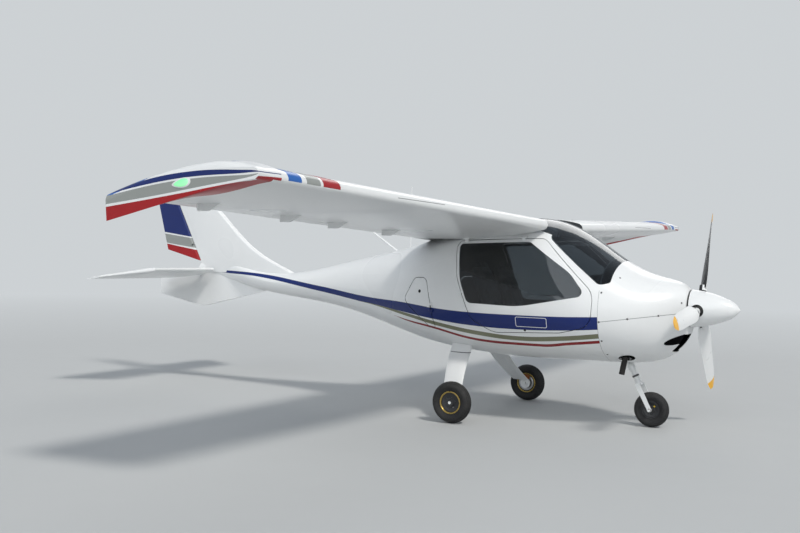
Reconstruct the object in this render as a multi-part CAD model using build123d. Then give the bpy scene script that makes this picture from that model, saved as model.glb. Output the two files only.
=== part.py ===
from build123d import *
import math
import os

# A two-seat high-wing ultralight aircraft on a tricycle landing gear, in millimetres.
# X points forward, Y to port, Z up. The origin is on the ground, midway along the length.
# A station is a distance aft of the spinner's tip.

# Whole aircraft
LENGTH = 6210.0
SPAN = 8500.0
LAMP_STAND = 10.0
WALL = 18.0
GLASS = 5.0
PANEL_GAP = 5.0
FIT_GAP = 0.3

# Propeller
THRUST_Z = 998.0
PROP_RADIUS = 852.0
PROP_STATION = 312.0
BLADE_COUNT = 3
FIRST_BLADE_DEG = 66.0
BLADE_ROOT_DIA = 62.0
SPINNER_LENGTH = 378.0
SPINNER_RADIUS = 154.0
SHAFT_DIA = 60.0

# Cowling, firewall and engine
COWL_FRONT = 392.0
COWL_WALL = 8.0
FIREWALL = 990.0
FIREWALL_THICK = 12.0
COWL_JOINT_TOP = 850.0
COWL_JOINT_BEND_Z = 1130.0
COWL_SPLIT_REAR_Z = 880.0
COWL_SPLIT_FRONT_Z = 968.0
ENGINE_FRONT = 590.0
ENGINE_LENGTH = FIREWALL - FIT_GAP - ENGINE_FRONT
ENGINE_WIDTH = 470.0
ENGINE_HEIGHT = 320.0
ENGINE_LOW_Z = 780.0
EXHAUST_DIA = 46.0
EXHAUST_STATION = 845.0
EXHAUST_SIDE = 250.0

# Fuselage
BULKHEAD = 2830.0
CAVITY_END = 4150.0
FLOOR_Z = 604.0
PANEL_STATION = 1085.0
BOOM_END = LENGTH - 690.0

# Wing
ROOT_Y = 600.0
TIP_Y = 4010.0
WING_LE_STATION = 1478.0
WING_LE_Z = 1656.0
ROOT_CHORD = 1247.0
TIP_CHORD = 1070.0
LE_SWEEP = 0.0205
DIHEDRAL = 0.0328
INCIDENCE_DEG = 5.1
CONTROL_CHORD = 270.0
FLAP_OUTER_Y = 2600.0
AILERON_OUTER_Y = 4000.0
HINGE_FAIRINGS = (1500.0, 2300.0, 2900.0, 3750.0)

# Tail
RUDDER_HINGE_LOW = (LENGTH - 670.0, 1262.0)
RUDDER_HINGE_TOP = (LENGTH - 205.0, 2150.0)
STAB_PIVOT = (LENGTH - 750.0, 1162.0)
STAB_HALF_SPAN = 1185.0
STAB_ROOT_Y = 82.0
STAB_CHORD = 680.0
STAB_THICK = 62.0
STAB_REST_DEG = 9.3
STAB_TUBE_DIA = 44.0
TAB_CHORD = 110.0

# Landing gear
TRACK = 1650.0
MAIN_WHEEL_STATION = 2127.0
MAIN_TYRE_DIA = 346.0
MAIN_TYRE_WIDTH = 112.0
NOSE_WHEEL_STATION = 691.0
NOSE_TYRE_DIA = 292.0
NOSE_TYRE_WIDTH = 98.0
RIM_SHARE_DIA = 190.0
AXLE_DIA = 25.0
STRUT_TOP = (905.0, 560.0)
STRUT_DIA = 46.0
TOW_PIN_LENGTH = 16.0
TOW_PIN_DIA = 20.0
TOW_PIN_NECK = 1.0
STRUT_TOP_POINT = (1030.0, 0.0, 776.0)
STRUT_LOW_POINT = (800.0, 0.0, 357.0)


def along(station):
    """X of a station."""
    return LENGTH / 2 - station


# Smooth outlines from tangent arcs

def bend(start, heading, end):
    """Middle point of the arc that leaves start on a heading and reaches end."""
    du, dv = end[0] - start[0], end[1] - start[1]
    chord = math.hypot(du, dv)
    turn = heading - math.atan2(dv, du)
    turn = math.atan2(math.sin(turn), math.cos(turn))
    rise = chord / 2 * math.tan(turn / 2)
    return (start[0] + du / 2 - dv / chord * rise, start[1] + dv / 2 + du / chord * rise)


def two_arcs(start, end, reach=None):
    """Two tangent arcs between stops (u, v, heading in degrees), as (from, middle, to) triples."""
    a, b = math.radians(start[2]), math.radians(end[2])
    ta, tb = (math.cos(a), math.sin(a)), (math.cos(b), math.sin(b))
    v = (end[0] - start[0], end[1] - start[1])
    va, vb = v[0] * ta[0] + v[1] * ta[1], v[0] * tb[0] + v[1] * tb[1]
    vv = v[0] ** 2 + v[1] ** 2
    ab = 1 - ta[0] * tb[0] - ta[1] * tb[1]
    if reach is None:
        if ab < 1e-9:
            reach = vv / (4 * va)
        else:
            reach = (-(va + vb) + math.sqrt((va + vb) ** 2 + 2 * ab * vv)) / (2 * ab)
    rest = (vv - 2 * reach * va) / (2 * (vb + reach * ab))
    q1 = (start[0] + reach * ta[0], start[1] + reach * ta[1])
    q2 = (end[0] - rest * tb[0], end[1] - rest * tb[1])
    share = reach / (reach + rest)
    joint = (q1[0] + (q2[0] - q1[0]) * share, q1[1] + (q2[1] - q1[1]) * share)
    middle = math.atan2(q2[1] - q1[1], q2[0] - q1[0])
    return [(start[:2], bend(start, a, joint), joint), (joint, bend(joint, middle, end), end[:2])]


def closed_face(arcs, place):
    """Face bounded by (from, middle, to) arcs or (from, to) lines, each point placed in space."""
    edges = []
    for arc in arcs:
        points = [place(*point) for point in arc]
        edges.append(ThreePointArc(*points) if len(points) == 3 else Line(*points))
    return Face(Wire([edge.edge() for edge in edges]))


def side_face(points, radii, y):
    """Face in the side view: corners (station, z) rounded by radii, at one Y."""
    corners = [(along(s), y, z) for s, z in points]
    return Face(FilletPolyline(*corners, radius=radii, close=True).wire())


def side_prism(points, radii, y_from, y_to):
    """Side-view outline carried from one Y to another."""
    return Solid.extrude(side_face(points, radii, y_from), Vector(0, y_to - y_from, 0))


def block(s_from, s_to, y_from, y_to, z_from, z_to):
    """Box between two stations, two sides and two heights."""
    size = (s_to - s_from, y_to - y_from, z_to - z_from)
    centre = (along((s_from + s_to) / 2), (y_from + y_to) / 2, (z_from + z_to) / 2)
    return Pos(*centre) * Box(*size)


def rod(start, end, radius):
    """Round rod between two points (station, y, z)."""
    a = Vector(along(start[0]), start[1], start[2])
    b = Vector(along(end[0]), end[1], end[2])
    return Plane(origin=a, z_dir=b - a) * Cylinder(radius, (b - a).length, align=(Align.CENTER, Align.CENTER, Align.MIN))


def mirrored(shape):
    """The same piece on the other side."""
    return shape.mirror(Plane.XZ)


def outside(shape, half):
    """What of a shape lies outside a starboard half and its mirrored twin."""
    return (shape - half) - mirrored(half)


# Fuselage body

# station, top z, bottom z, half width, z of the widest line, share of the shoulder's radius
POD_ROWS = [
    (COWL_FRONT, 1150.0, 775.0, 162.0, 962.0, 1.0),
    (600.0, 1243.0, 572.0, 372.0, 935.0, 0.95),
    (FIREWALL, 1412.0, 522.0, 565.0, 940.0, 0.80),
    (1350.0, 1640.0, 518.0, 625.0, 962.0, 0.60),
    (1850.0, 1722.0, 515.0, 640.0, 985.0, 0.52),
    (2350.0, 1640.0, 548.0, 593.0, 995.0, 0.58),
    (BULKHEAD, 1498.0, 628.0, 462.0, 1015.0, 0.80),
    (3200.0, 1405.0, 732.0, 335.0, 1040.0, 0.92),
]
# share of the way from the last pod row to the boom's end, and the same sizes
BOOM_ROWS = [
    (0.4, 1205.0, 922.0, 160.0, 1065.0, 1.0),
    (0.7, 1205.0, 1020.0, 95.0, 1115.0, 1.0),
    (1.0, 1252.0, 1102.0, 44.0, 1180.0, 1.0),
]
SIDE_TURN = 20.0
CROWN_TURN = 27.0


def body_rows():
    """All sections of the body, from the cowl's front to the boom's end."""
    last = POD_ROWS[-1][0]
    return POD_ROWS + [(last + share * (BOOM_END - last), *row) for share, *row in BOOM_ROWS]


def shoulder(half, height, share):
    """Points of a quarter oval: a side arc, a shoulder arc and a crown arc, tangent to each other."""
    a, b = math.radians(SIDE_TURN), math.radians(90 - CROWN_TURN)
    radius = share * min(half, height)
    left = half - radius * (math.cos(a) - math.cos(b))
    up = height - radius * (math.sin(b) - math.sin(a))
    # the side arc covers radius * (1 - cos a, sin a), the crown arc radius * (cos b, 1 - sin b)
    det = (1 - math.cos(a)) * (1 - math.sin(b)) - math.sin(a) * math.cos(b)
    side = (left * (1 - math.sin(b)) - up * math.cos(b)) / det
    crown = ((1 - math.cos(a)) * up - math.sin(a) * left) / det
    turns = [(0.0, a, side), (a, b, radius), (b, math.pi / 2, crown)]
    point, arcs = (half, 0.0), []
    for start, end, r in turns:
        centre = (point[0] - r * math.cos(start), point[1] - r * math.sin(start))
        arc = [(centre[0] + r * math.cos(t), centre[1] + r * math.sin(t)) for t in (start, (start + end) / 2, end)]
        arcs.append(tuple(arc))
        point = arc[-1]
    return arcs


def half_outline(row, inset):
    """Arcs of the starboard half of a body section: three above the widest line, two below."""
    station, top, bottom, half, widest, share = row
    half, up, down = half - inset, top - inset - widest, widest - bottom - inset
    upper = shoulder(half, up, share)
    lower = two_arcs((half, 0, -90), (0, -down, -180))
    arcs = [arc[::-1] for arc in reversed(lower)] + upper
    return [tuple((-y, widest + z) for y, z in arc) for arc in arcs]


def body_section(row, inset=0.0):
    """Whole section of the body."""
    arcs = half_outline(row, inset)
    other = [tuple((-y, z) for y, z in arc[::-1]) for arc in reversed(arcs)]
    return closed_face(arcs + other, lambda y, z: (along(row[0]), y, z))


def loft(faces, straight=False):
    """Solid through the outlines of faces."""
    return Solid.make_loft([face.outer_wire() for face in faces], straight)


def half_body(rows, inset=0.0):
    """Starboard half of the smooth body, flat on the centre line."""
    faces = []
    for row in rows:
        arcs = half_outline(row, inset)
        faces.append(closed_face(arcs + [(arcs[-1][-1], arcs[0][0])], lambda y, z, s=row[0]: (along(s), y, z)))
    return loft(faces)


# Side-view outlines (station, z) and the radius of each corner

DOOR = ([(2278, 1518), (2222, 1205), (2072, 850), (1885, 748), (1300, 775), (1040, 838), (1030, 1110), (1475, 1546)],
        [60, 380, 130, 190, 160, 130, 170, 110])
DOOR_WINDOW = ([(2240, 1488), (2188, 1180), (2106, 990), (1640, 978), (1085, 1085), (1225, 1262), (1590, 1512)],
               [24, 420, 60, 900, 42, 300, 60])
HATCH = ([(2800, 985), (2680, 1190), (2545, 1190), (2490, 985), (2465, 752), (2530, 752)],
         [60, 60, 60, 120, 20, 60])
SCREEN_SIDE = ([(922, 1192), (1000, 1172), (1440, 1545), (1462, 1800), (800, 1800), (922, 1400)],
               [20, 60, 60, 5, 5, 100])


COWL_JOINT = ([(FIREWALL, COWL_JOINT_BEND_Z), (890, 1196), (COWL_JOINT_TOP, 1345), (COWL_JOINT_TOP, 1500), (0, 1500),
               (0, COWL_JOINT_BEND_Z)], [0] * 6)
SCREEN_REAR = 1700.0
SCREEN_HALF = 405.0

# hinge lines (station, y, z) and their hardware
DOOR_AXIS = ((1650.0, -527.0, 1546.0), (2180.0, -505.0, 1535.0))
DOOR_HINGES = (1650.0, 2180.0)
DOOR_STRAP = (24.0, -36.0)
SHELL_STRAP = (55.0, 12.0)
HATCH_AXIS = ((2467.5, 752.0), (2492.5, 985.0))
HATCH_AXIS_Y = -575.0
HATCH_HINGE_U = 180.0
HATCH_LIP = 6.0
HATCH_STEP = 12.0
KNUCKLE_DIA = 14.0
STRAP_THICK = 5.0


def inside_offset(outline, distance):
    """Side-view face of an outline drawn in by a distance (or out, if it is negative)."""
    face = side_face(*outline, 0.0)
    if not distance:
        return face
    return Face(face.outer_wire().offset_2d(-distance, Kind.ARC))


def outline_prism(outline, distance, y_from, y_to):
    """Prism of an outline, drawn in by a distance, between two values of Y."""
    face = inside_offset(outline, distance).moved(Location((0, y_from, 0)))
    return Solid.extrude(face, Vector(0, y_to - y_from, 0))


# Wing sections

def wing_chord(y):
    """Leading edge station and height, and chord, at a distance from the centre line."""
    out = y - ROOT_Y
    chord = ROOT_CHORD + (TIP_CHORD - ROOT_CHORD) * out / (TIP_Y - ROOT_Y)
    return WING_LE_STATION + LE_SWEEP * out, WING_LE_Z + DIHEDRAL * out, chord


def aerofoil(crown=0.092, belly=-0.050, edge_top=0.003, edge_low=-0.003, top_fall=-13.5, low_rise=7.5, belly_slope=0.0):
    """Unit wing section of tangent arcs: nose to trailing edge over the top, and back below."""
    top = two_arcs((0, 0, 90), (0.32, crown, 0), 0.030)
    top += two_arcs((0.32, crown, 0), (1, edge_top, top_fall))
    low = two_arcs((0, 0, -90), (0.30, belly, belly_slope), 0.022)
    low += two_arcs((0.30, belly, belly_slope), (1, edge_low, low_rise))
    return top + [((1, edge_top), (1, edge_low))] + [arc[::-1] for arc in reversed(low)]


def wing_place(y, swell=1.0):
    """Function that places a unit wing section on the starboard wing."""
    le_station, le_z, chord = wing_chord(y)
    pitch = math.radians(INCIDENCE_DEG)

    def place(u, v):
        u, v = (u - 0.4) * swell + 0.4, v * swell
        station = le_station + chord * (u * math.cos(pitch) + v * math.sin(pitch))
        z = le_z + chord * (v * math.cos(pitch) - u * math.sin(pitch))
        return (along(station), -y, z)

    return place


def wing_face(y, swell=1.0, **shape):
    """Starboard wing section at a distance from the centre line."""
    return closed_face(aerofoil(**shape), wing_place(y, swell))


# distance past the tip line, crown, belly, upper and lower trailing edge, their slopes, belly's slope
TIP_REACH = SPAN / 2 - LAMP_STAND - TIP_Y
TIP_CROWN = 0.098
TIP_ROWS = [
    (0.0, TIP_CROWN, -0.050, 0.003, -0.003, -13.5, 7.5, 0.0),
    (100.0, 0.100, -0.050, 0.005, -0.030, -14.0, 4.0, -2.0),
    (175.0, 0.097, -0.049, 0.006, -0.085, -14.0, -2.0, -5.0),
    (215.0, 0.084, -0.047, -0.004, -0.125, -13.0, -6.0, -7.0),
    (TIP_REACH, 0.052, -0.044, -0.034, -0.140, -10.5, -7.5, -7.5),
]


def wing_solid():
    """Starboard wing with its drooped tip, before its control surfaces are cut."""
    main = loft([wing_face(ROOT_Y), wing_face(TIP_Y, crown=TIP_CROWN)], True)
    tips = []
    for out, crown, belly, up, low, fall, rise, slope in TIP_ROWS:
        shape = dict(crown=crown, belly=belly, edge_top=up, edge_low=low, top_fall=fall, low_rise=rise, belly_slope=slope)
        tips.append(wing_face(TIP_Y + out, **shape))
    return main + loft(tips)


def hinge_point(y):
    """Station and height of the flap and aileron hinge line, midway through the section."""
    _, _, chord = wing_chord(y)
    x, _, z = wing_place(y)(1 - CONTROL_CHORD / chord, 0.012)
    return LENGTH / 2 - x, z


NOSE_RADIUS = 52.0
HINGE_PLATE_RADIUS = 88.0
HINGE_PLATE_THICK = 16.0
HINGE_PLATE_REACH = 10.0
HINGE_PIN_DIA = 10.0
HINGE_PIN_REACH = 26.0
HINGE_SLOT_RISE = 18.0


def hinge_rod(y_from, y_to, radius):
    """Round rod along the hinge line."""
    (s1, z1), (s2, z2) = hinge_point(y_from), hinge_point(y_to)
    return rod((s1, -y_from, z1), (s2, -y_to, z2), radius)


def control_space(y_from, y_to, clearance):
    """Space of a control surface: a round nose about its hinge line and all behind it."""
    ends = [(*hinge_point(y), -y) for y in (y_from, y_to)]
    nose = hinge_rod(y_from - 20, y_to + 20, NOSE_RADIUS + clearance)
    nose &= block(0, LENGTH, -y_to, -y_from, 0, 3000)
    deep, far = 140.0, CONTROL_CHORD + 60.0
    faces = []
    for s, z, y in ends:
        corners = [(s, z - deep), (s + far, z - deep), (s + far, z + deep), (s, z + deep)]
        faces.append(closed_face([(a, b) for a, b in zip(corners, corners[1:] + corners[:1])],
                                 lambda u, v, y=y: (along(u), y, v)))
    return loft(faces, True) + nose


def hinge_plate(y):
    """Bracket and pin under the wing at a hinge, part of a disc about the hinge line, and the space they need."""
    s, z = hinge_point(y)
    half, radius = HINGE_PLATE_THICK / 2, HINGE_PLATE_RADIUS
    disc = rod((s, -y - half, z), (s, -y + half, z), radius)
    plate = disc & block(s - radius, s + HINGE_PLATE_REACH, -y - half, -y + half, z - radius - 1, z)
    plate += side_prism([(s - 190, z - 30), (s - 20, z - 30), (s - 20, z - radius), (s - 70, z - radius)],
                        [8, 5, 2, 60], -y - half, -y + half)
    plate += rod((s, -y - half, z), (s, -y + half, z), HINGE_PIN_DIA / 2 + 5)
    plate += hinge_rod(y - HINGE_PIN_REACH, y + HINGE_PIN_REACH, HINGE_PIN_DIA / 2)
    wide = half + PANEL_GAP
    slot = rod((s, -y - wide, z), (s, -y + wide, z), radius + PANEL_GAP)
    slot &= block(s - radius - 10, s + radius + 10, -y - wide, -y + wide, z - 200, z + HINGE_SLOT_RISE)
    reach = HINGE_PIN_REACH + FIT_GAP
    return plate, slot + hinge_rod(y - reach, y + reach, HINGE_PIN_DIA / 2 + FIT_GAP)


PARTS = {}


def keep(name, shape):
    """Names a finished piece."""
    PARTS[name] = shape


def both_sides(name, shape):
    """Names a starboard piece and its mirrored twin."""
    keep(f"{name}_right", shape)
    keep(f"{name}_left", mirrored(shape))


def single(shape):
    """The one largest solid of a result."""
    return max(shape.solids(), key=lambda solid: solid.volume)


# Wings

def make_wings():
    """Wings, flaps and ailerons with their hinge fairings."""
    wing = wing_solid()
    flap_gap = PANEL_GAP
    flap_space = control_space(ROOT_Y + flap_gap, FLAP_OUTER_Y - flap_gap / 2, 0.0)
    aileron_space = control_space(FLAP_OUTER_Y + flap_gap / 2, AILERON_OUTER_Y - flap_gap, 0.0)
    flap = single(wing & flap_space)
    aileron = single(wing & aileron_space)
    fixed = wing - control_space(ROOT_Y - 1, AILERON_OUTER_Y, PANEL_GAP)
    for y in HINGE_FAIRINGS:
        plate, slot = hinge_plate(y)
        fixed = fixed + plate
        if y < FLAP_OUTER_Y:
            flap = flap - slot
        else:
            aileron = aileron - slot
    both_sides("wing", single(fixed))
    both_sides("flap", single(flap))
    both_sides("aileron", single(aileron))
    return wing


# Fuselage, doors and glass

def root_stub():
    """Starboard wing root, from the wing's end to the centre line."""
    return loft([wing_face(ROOT_Y), wing_face(ROOT_Y - 90)], True) + loft([wing_face(ROOT_Y - 90), wing_face(0, 1.04)], True)


FAR = 1200.0


def strap(s_from, s_to, start, end):
    """Flat strap between two points (y, z), as wide as its hinge's knuckle."""
    width = s_to - s_from
    a = Vector(along((s_from + s_to) / 2), *start)
    b = Vector(along((s_from + s_to) / 2), *end)
    plane = Plane(origin=a, x_dir=(1, 0, 0), z_dir=b - a)
    return plane * Box(width, STRAP_THICK, (b - a).length, align=(Align.CENTER, Align.CENTER, Align.MIN))


def door_hinge(station):
    """Knuckles and straps of one door hinge: what the shell carries, what the door carries and the pocket."""
    share = (station - DOOR_AXIS[0][0]) / (DOOR_AXIS[1][0] - DOOR_AXIS[0][0])
    y, z = [DOOR_AXIS[0][i] + share * (DOOR_AXIS[1][i] - DOOR_AXIS[0][i]) for i in (1, 2)]
    direction = Vector(*[a - b for a, b in zip(DOOR_AXIS[1], DOOR_AXIS[0])]).normalized()
    centre = Vector(station, y, z)

    def knuckle(u_from, u_to, radius=KNUCKLE_DIA / 2):
        a, b = centre + direction * u_from, centre + direction * u_to
        return rod((a.X, a.Y, a.Z), (b.X, b.Y, b.Z), radius)

    half = 16.0
    moving = knuckle(-half, half) + strap(station - half + 1, station + half - 1, (y, z), (y + DOOR_STRAP[0], z + DOOR_STRAP[1]))
    fixed = None
    for side in (-1, 1):
        ends = sorted((side * (half + FIT_GAP), side * (half + 15)))
        middle = station + sum(ends) / 2
        piece = knuckle(*ends) + strap(middle - 6, middle + 6, (y, z), (y + SHELL_STRAP[0], z + SHELL_STRAP[1]))
        fixed = piece if fixed is None else fixed + piece
    pocket = knuckle(-half - FIT_GAP, half + FIT_GAP, KNUCKLE_DIA / 2 + PANEL_GAP)
    return fixed, moving, pocket


def hatch_knuckle(u_from, u_to, reach):
    """Stretch of the hatch's hinge, u along its leaning axis, with a leaf reaching aft or forward."""
    (s1, z1), (s2, z2) = HATCH_AXIS
    run = math.hypot(s2 - s1, z2 - z1)
    ds, dz = (s2 - s1) / run, (z2 - z1) / run
    a, b = [(s1 + ds * u, HATCH_AXIS_Y, z1 + dz * u) for u in (u_from, u_to)]
    middle = ((a[0] + b[0]) / 2, HATCH_AXIS_Y, (a[2] + b[2]) / 2)
    low, high = min(a[2], b[2]) + 1, max(a[2], b[2]) - 1
    leaf = block(*sorted((middle[0], middle[0] + reach)), HATCH_AXIS_Y, HATCH_AXIS_Y + 4, low, high)
    foot = block(*sorted((middle[0] + reach * 0.6, middle[0] + reach)), HATCH_AXIS_Y, HATCH_AXIS_Y + 30, low, high)
    return rod(a, b, KNUCKLE_DIA / 2 - 2) + leaf + foot


def make_shell(rows, skin):
    """Body shell with its openings, in two halves bonded on the centre line, and the doors and hatches."""
    room = half_body(rows, WALL)
    shell = skin - (room & block(0, CAVITY_END, -FAR, 1, 0, 2000))
    shell -= side_prism(*COWL_JOINT, -FAR, 1)
    shell -= block(0, FIREWALL, -FAR, 1, 0, COWL_JOINT_BEND_Z)
    shell += root_stub() - block(0, SCREEN_REAR - 10, -SCREEN_HALF - 25, 1, 1000, 2000)
    shell -= outline_prism(SCREEN_SIDE, 0.0, -FAR, 1)
    shell -= block(1400, SCREEN_REAR, -SCREEN_HALF, 1, 1560, 1900)
    shell -= outline_prism(DOOR, 0.0, -FAR, -380)
    shell -= outline_prism(HATCH, 0.0, -FAR, -200)
    shell -= rod((STAB_PIVOT[0], -200, STAB_PIVOT[1]), (STAB_PIVOT[0], 1, STAB_PIVOT[1]), STAB_TUBE_DIA / 2 + FIT_GAP)
    hinges = [door_hinge(station) for station in DOOR_HINGES]
    for fixed, moving, pocket in hinges:
        shell = (shell - pocket) + (fixed - room)
    for u_from in (HATCH_HINGE_U - 41, HATCH_HINGE_U + 21):
        shell += hatch_knuckle(u_from, u_from + 20, -22) - room
    both_sides("fuselage_half", single(shell))
    window = outline_prism(DOOR_WINDOW, 0.0, -FAR, -380)
    panel = (skin & outline_prism(DOOR, PANEL_GAP, -FAR, -380)) - room
    panel -= window
    for fixed, moving, pocket in hinges:
        panel += moving - room
    both_sides("door", single(panel))
    both_sides("door_window", single((skin & window) - half_body(rows, GLASS)))
    hatch = (skin & outline_prism(HATCH, PANEL_GAP, -FAR, -200)) - half_body(rows, HATCH_LIP)
    hatch += (skin & outline_prism(HATCH, PANEL_GAP + HATCH_STEP, -FAR, -200)) - room
    hatch += hatch_knuckle(HATCH_HINGE_U - 20.7, HATCH_HINGE_U + 20.7, 24) - room
    both_sides("baggage_hatch", single(hatch))


def joined(shape):
    """A starboard half and its mirrored twin, joined on the centre line."""
    return single(shape + mirrored(shape))


def make_nose(rows, skin):
    """Windshield, upper and lower cowling, and firewall."""
    screen = outline_prism(SCREEN_SIDE, 0.0, -FAR, 1) + block(1400, SCREEN_REAR, -SCREEN_HALF, 1, 1560, 1900)
    keep("windshield", joined(single((skin & screen) - half_body(rows, GLASS))))
    cowl = (skin & block(0, FIREWALL, -FAR, 1, 0, COWL_JOINT_BEND_Z)) + (skin & side_prism(*COWL_JOINT, -FAR, 1))
    cowl -= half_body(rows, COWL_WALL) - block(0, COWL_FRONT + COWL_WALL, -FAR, 1, 0, 2000)
    cowl -= Pos(along(COWL_FRONT), 0, THRUST_Z) * Rot(0, 90, 0) * Cylinder(SHAFT_DIA / 2 + 20, 200)
    split = [(0, COWL_SPLIT_FRONT_Z + 40), (COWL_FRONT, COWL_SPLIT_FRONT_Z), (FIREWALL, COWL_SPLIT_REAR_Z),
             (FIREWALL + 200, COWL_SPLIT_REAR_Z), (FIREWALL + 200, 2000), (0, 2000)]
    upper_space = side_prism(split, [0] * 6, -FAR, 1)
    keep("cowl_upper", joined(single(cowl & upper_space)))
    lower = cowl - upper_space
    inlet = [(COWL_FRONT - 20, 790), (520, 790), (520, 640), (COWL_FRONT - 20, 640)]
    lower -= side_prism(inlet, [5, 5, 40, 5], -115, 1)
    lower = joined(single(lower))
    lower -= rod((EXHAUST_STATION, -EXHAUST_SIDE, 450), (EXHAUST_STATION, -EXHAUST_SIDE, 700), EXHAUST_DIA / 2 + 22)
    lower -= rod(STRUT_TOP_POINT, STRUT_LOW_POINT, STRUT_DIA / 2 + 14)
    keep("cowl_lower", single(lower))
    wall = body_section([row for row in rows if row[0] == FIREWALL][0], WALL + FIT_GAP)
    keep("firewall", Solid.extrude(wall, Vector(-FIREWALL_THICK, 0, 0)))


def plan_prism(points, z_from, z_to):
    """Plan-view outline (station, y) carried from one height to another."""
    lines = [(a, b) for a, b in zip(points, points[1:] + points[:1])]
    return Solid.extrude(closed_face(lines, lambda s, y: (along(s), y, z_from)), Vector(0, 0, z_to - z_from))


def make_inside(rows):
    """Floor, panel, bulkhead, seats and sticks inside the cabin, and the engine block."""
    front = FIREWALL + FIREWALL_THICK + FIT_GAP
    half = [(front, 225), (1850, 265), (2300, 150)]
    floor = half + [(s, -y) for s, y in reversed(half)]
    keep("cabin_floor", plan_prism(floor, FLOOR_Z - 18, FLOOR_Z))
    wall = body_section([row for row in rows if row[0] == BULKHEAD][0], WALL + FIT_GAP)
    keep("rear_bulkhead", Solid.extrude(wall, Vector(FIREWALL_THICK, 0, 0)))
    panel = half_body(rows, WALL + 8) & block(PANEL_STATION, PANEL_STATION + 60, -FAR, 1, 930, 1232)
    panel += rod((front, -300, 1120), (PANEL_STATION + 5, -300, 1120), 10)
    keep("instrument_panel", joined(single(panel)))
    for side, name in ((-1, "right"), (1, "left")):
        y1, y2 = sorted((side * 62, side * 405))
        seat_side = [(1490, 652), (2080, 652), (2230, 1290), (2110, 1300), (1960, 810), (1490, 780)]
        seat = side_prism(seat_side, [20, 60, 60, 40, 90, 40], y1, y2)
        y1, y2 = sorted((side * 80, side * 215))
        keep(f"seat_{name}", seat + block(1520, 2000, y1, y2, FLOOR_Z + FIT_GAP, 680))
    console = block(1170, 1440, -52, 52, FLOOR_Z + FIT_GAP, 800)
    for side in (-1, 1):
        console = console + rod((1330, side * 34, 790), (1300, side * 34, 1000), 12)
    keep("centre_console", console)
    keep("engine_block", block(ENGINE_FRONT, ENGINE_FRONT + ENGINE_LENGTH, -ENGINE_WIDTH / 2, ENGINE_WIDTH / 2,
                               ENGINE_LOW_Z, ENGINE_LOW_Z + ENGINE_HEIGHT))


# Propeller

BLADE_ROWS = [  # radius, chord, thickness, twist from the disc in degrees
    (175.0, 92.0, 30.0, 40.0),
    (330.0, 140.0, 20.0, 30.0),
    (560.0, 132.0, 14.0, 22.0),
    (PROP_RADIUS - 60, 100.0, 9.0, 16.0),
    (PROP_RADIUS, 50.0, 5.0, 14.0),
]


def blade_face(radius, chord, thick, twist):
    """Section of an upright blade: flat-bottomed lens, turned by its twist."""
    turn = -math.radians(twist)
    front, rear = (-chord / 2, 0), (chord / 2, 0)
    arcs = [(front, (-chord * 0.1, thick * 0.75), rear), (rear, (0, -thick * 0.3), front)]

    def place(u, v):
        y = u * math.cos(turn) - v * math.sin(turn)
        x = u * math.sin(turn) + v * math.cos(turn)
        return (along(PROP_STATION) + x, y, THRUST_Z + radius)

    return closed_face(arcs, place)


def make_propeller():
    """Spinner, hub and three twisted blades."""
    blade = loft([blade_face(*row) for row in BLADE_ROWS])
    shank = rod((PROP_STATION, 0, THRUST_Z + 80), (PROP_STATION, 0, THRUST_Z + 200), BLADE_ROOT_DIA / 2)
    blade = blade + shank
    centre = Axis((0, 0, THRUST_Z), (1, 0, 0))
    hub = Pos(along(PROP_STATION), 0, THRUST_Z) * Rot(0, 90, 0) * Cylinder(85, 90)
    blades = hub
    for index in range(BLADE_COUNT):
        blades = blades + blade.rotate(centre, FIRST_BLADE_DEG - 90 + index * 360 / BLADE_COUNT)
    shaft = rod((PROP_STATION, 0, THRUST_Z), (ENGINE_FRONT - FIT_GAP, 0, THRUST_Z), SHAFT_DIA / 2)
    blades = blades + shaft
    keep("propeller_blades", single(blades))
    profile = two_arcs((0, 0, 62), (SPINNER_LENGTH, SPINNER_RADIUS, 4), 60)
    edges = [ThreePointArc(*[(along(u), 0, THRUST_Z + v) for u, v in arc]).edge() for arc in profile]
    corner = (along(SPINNER_LENGTH), 0, THRUST_Z + SPINNER_RADIUS)
    base = (along(SPINNER_LENGTH), 0, THRUST_Z)
    edges += [Line(corner, base).edge(), Line(base, (along(0), 0, THRUST_Z)).edge()]
    solid = Solid.revolve(Face(Wire(edges)), 360, centre)
    hollow = Pos(along(PROP_STATION - 5), 0, THRUST_Z) * Rot(0, 90, 0) * Cylinder(118, 130)
    spinner = solid - hollow
    spinner -= Pos(along(SPINNER_LENGTH), 0, THRUST_Z) * Rot(0, 90, 0) * Cylinder(SHAFT_DIA / 2, 200)
    hole = rod((PROP_STATION, 0, THRUST_Z + 60), (PROP_STATION, 0, THRUST_Z + 260), BLADE_ROOT_DIA / 2 + 6)
    hole = hole + rod((PROP_STATION, 0, THRUST_Z + 100), (PROP_STATION, 0, THRUST_Z + 260), 52)
    for index in range(BLADE_COUNT):
        spinner -= hole.rotate(centre, FIRST_BLADE_DEG - 90 + index * 360 / BLADE_COUNT)
    keep("spinner", single(spinner))


# Tail

def hinge_station(z):
    """Station of the rudder's hinge line at a height."""
    (s1, z1), (s2, z2) = RUDDER_HINGE_LOW, RUDDER_HINGE_TOP
    return s1 + (z - z1) * (s2 - s1) / (z2 - z1)


def tail_section(z, nose, rear, half, rear_half):
    """Level section of the fin: rounded nose, full middle and flat rear face."""
    chord = rear - nose
    top = two_arcs((nose, 0, 90), (nose + 0.45 * chord, half, 0), half * 0.8)
    top += two_arcs((nose + 0.45 * chord, half, 0), (rear, rear_half, -4))
    low = [tuple((u, -v) for u, v in arc[::-1]) for arc in reversed(top)]
    return closed_face(top + [((rear, rear_half), (rear, -rear_half))] + low, lambda u, v: (along(u), v, z))


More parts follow.
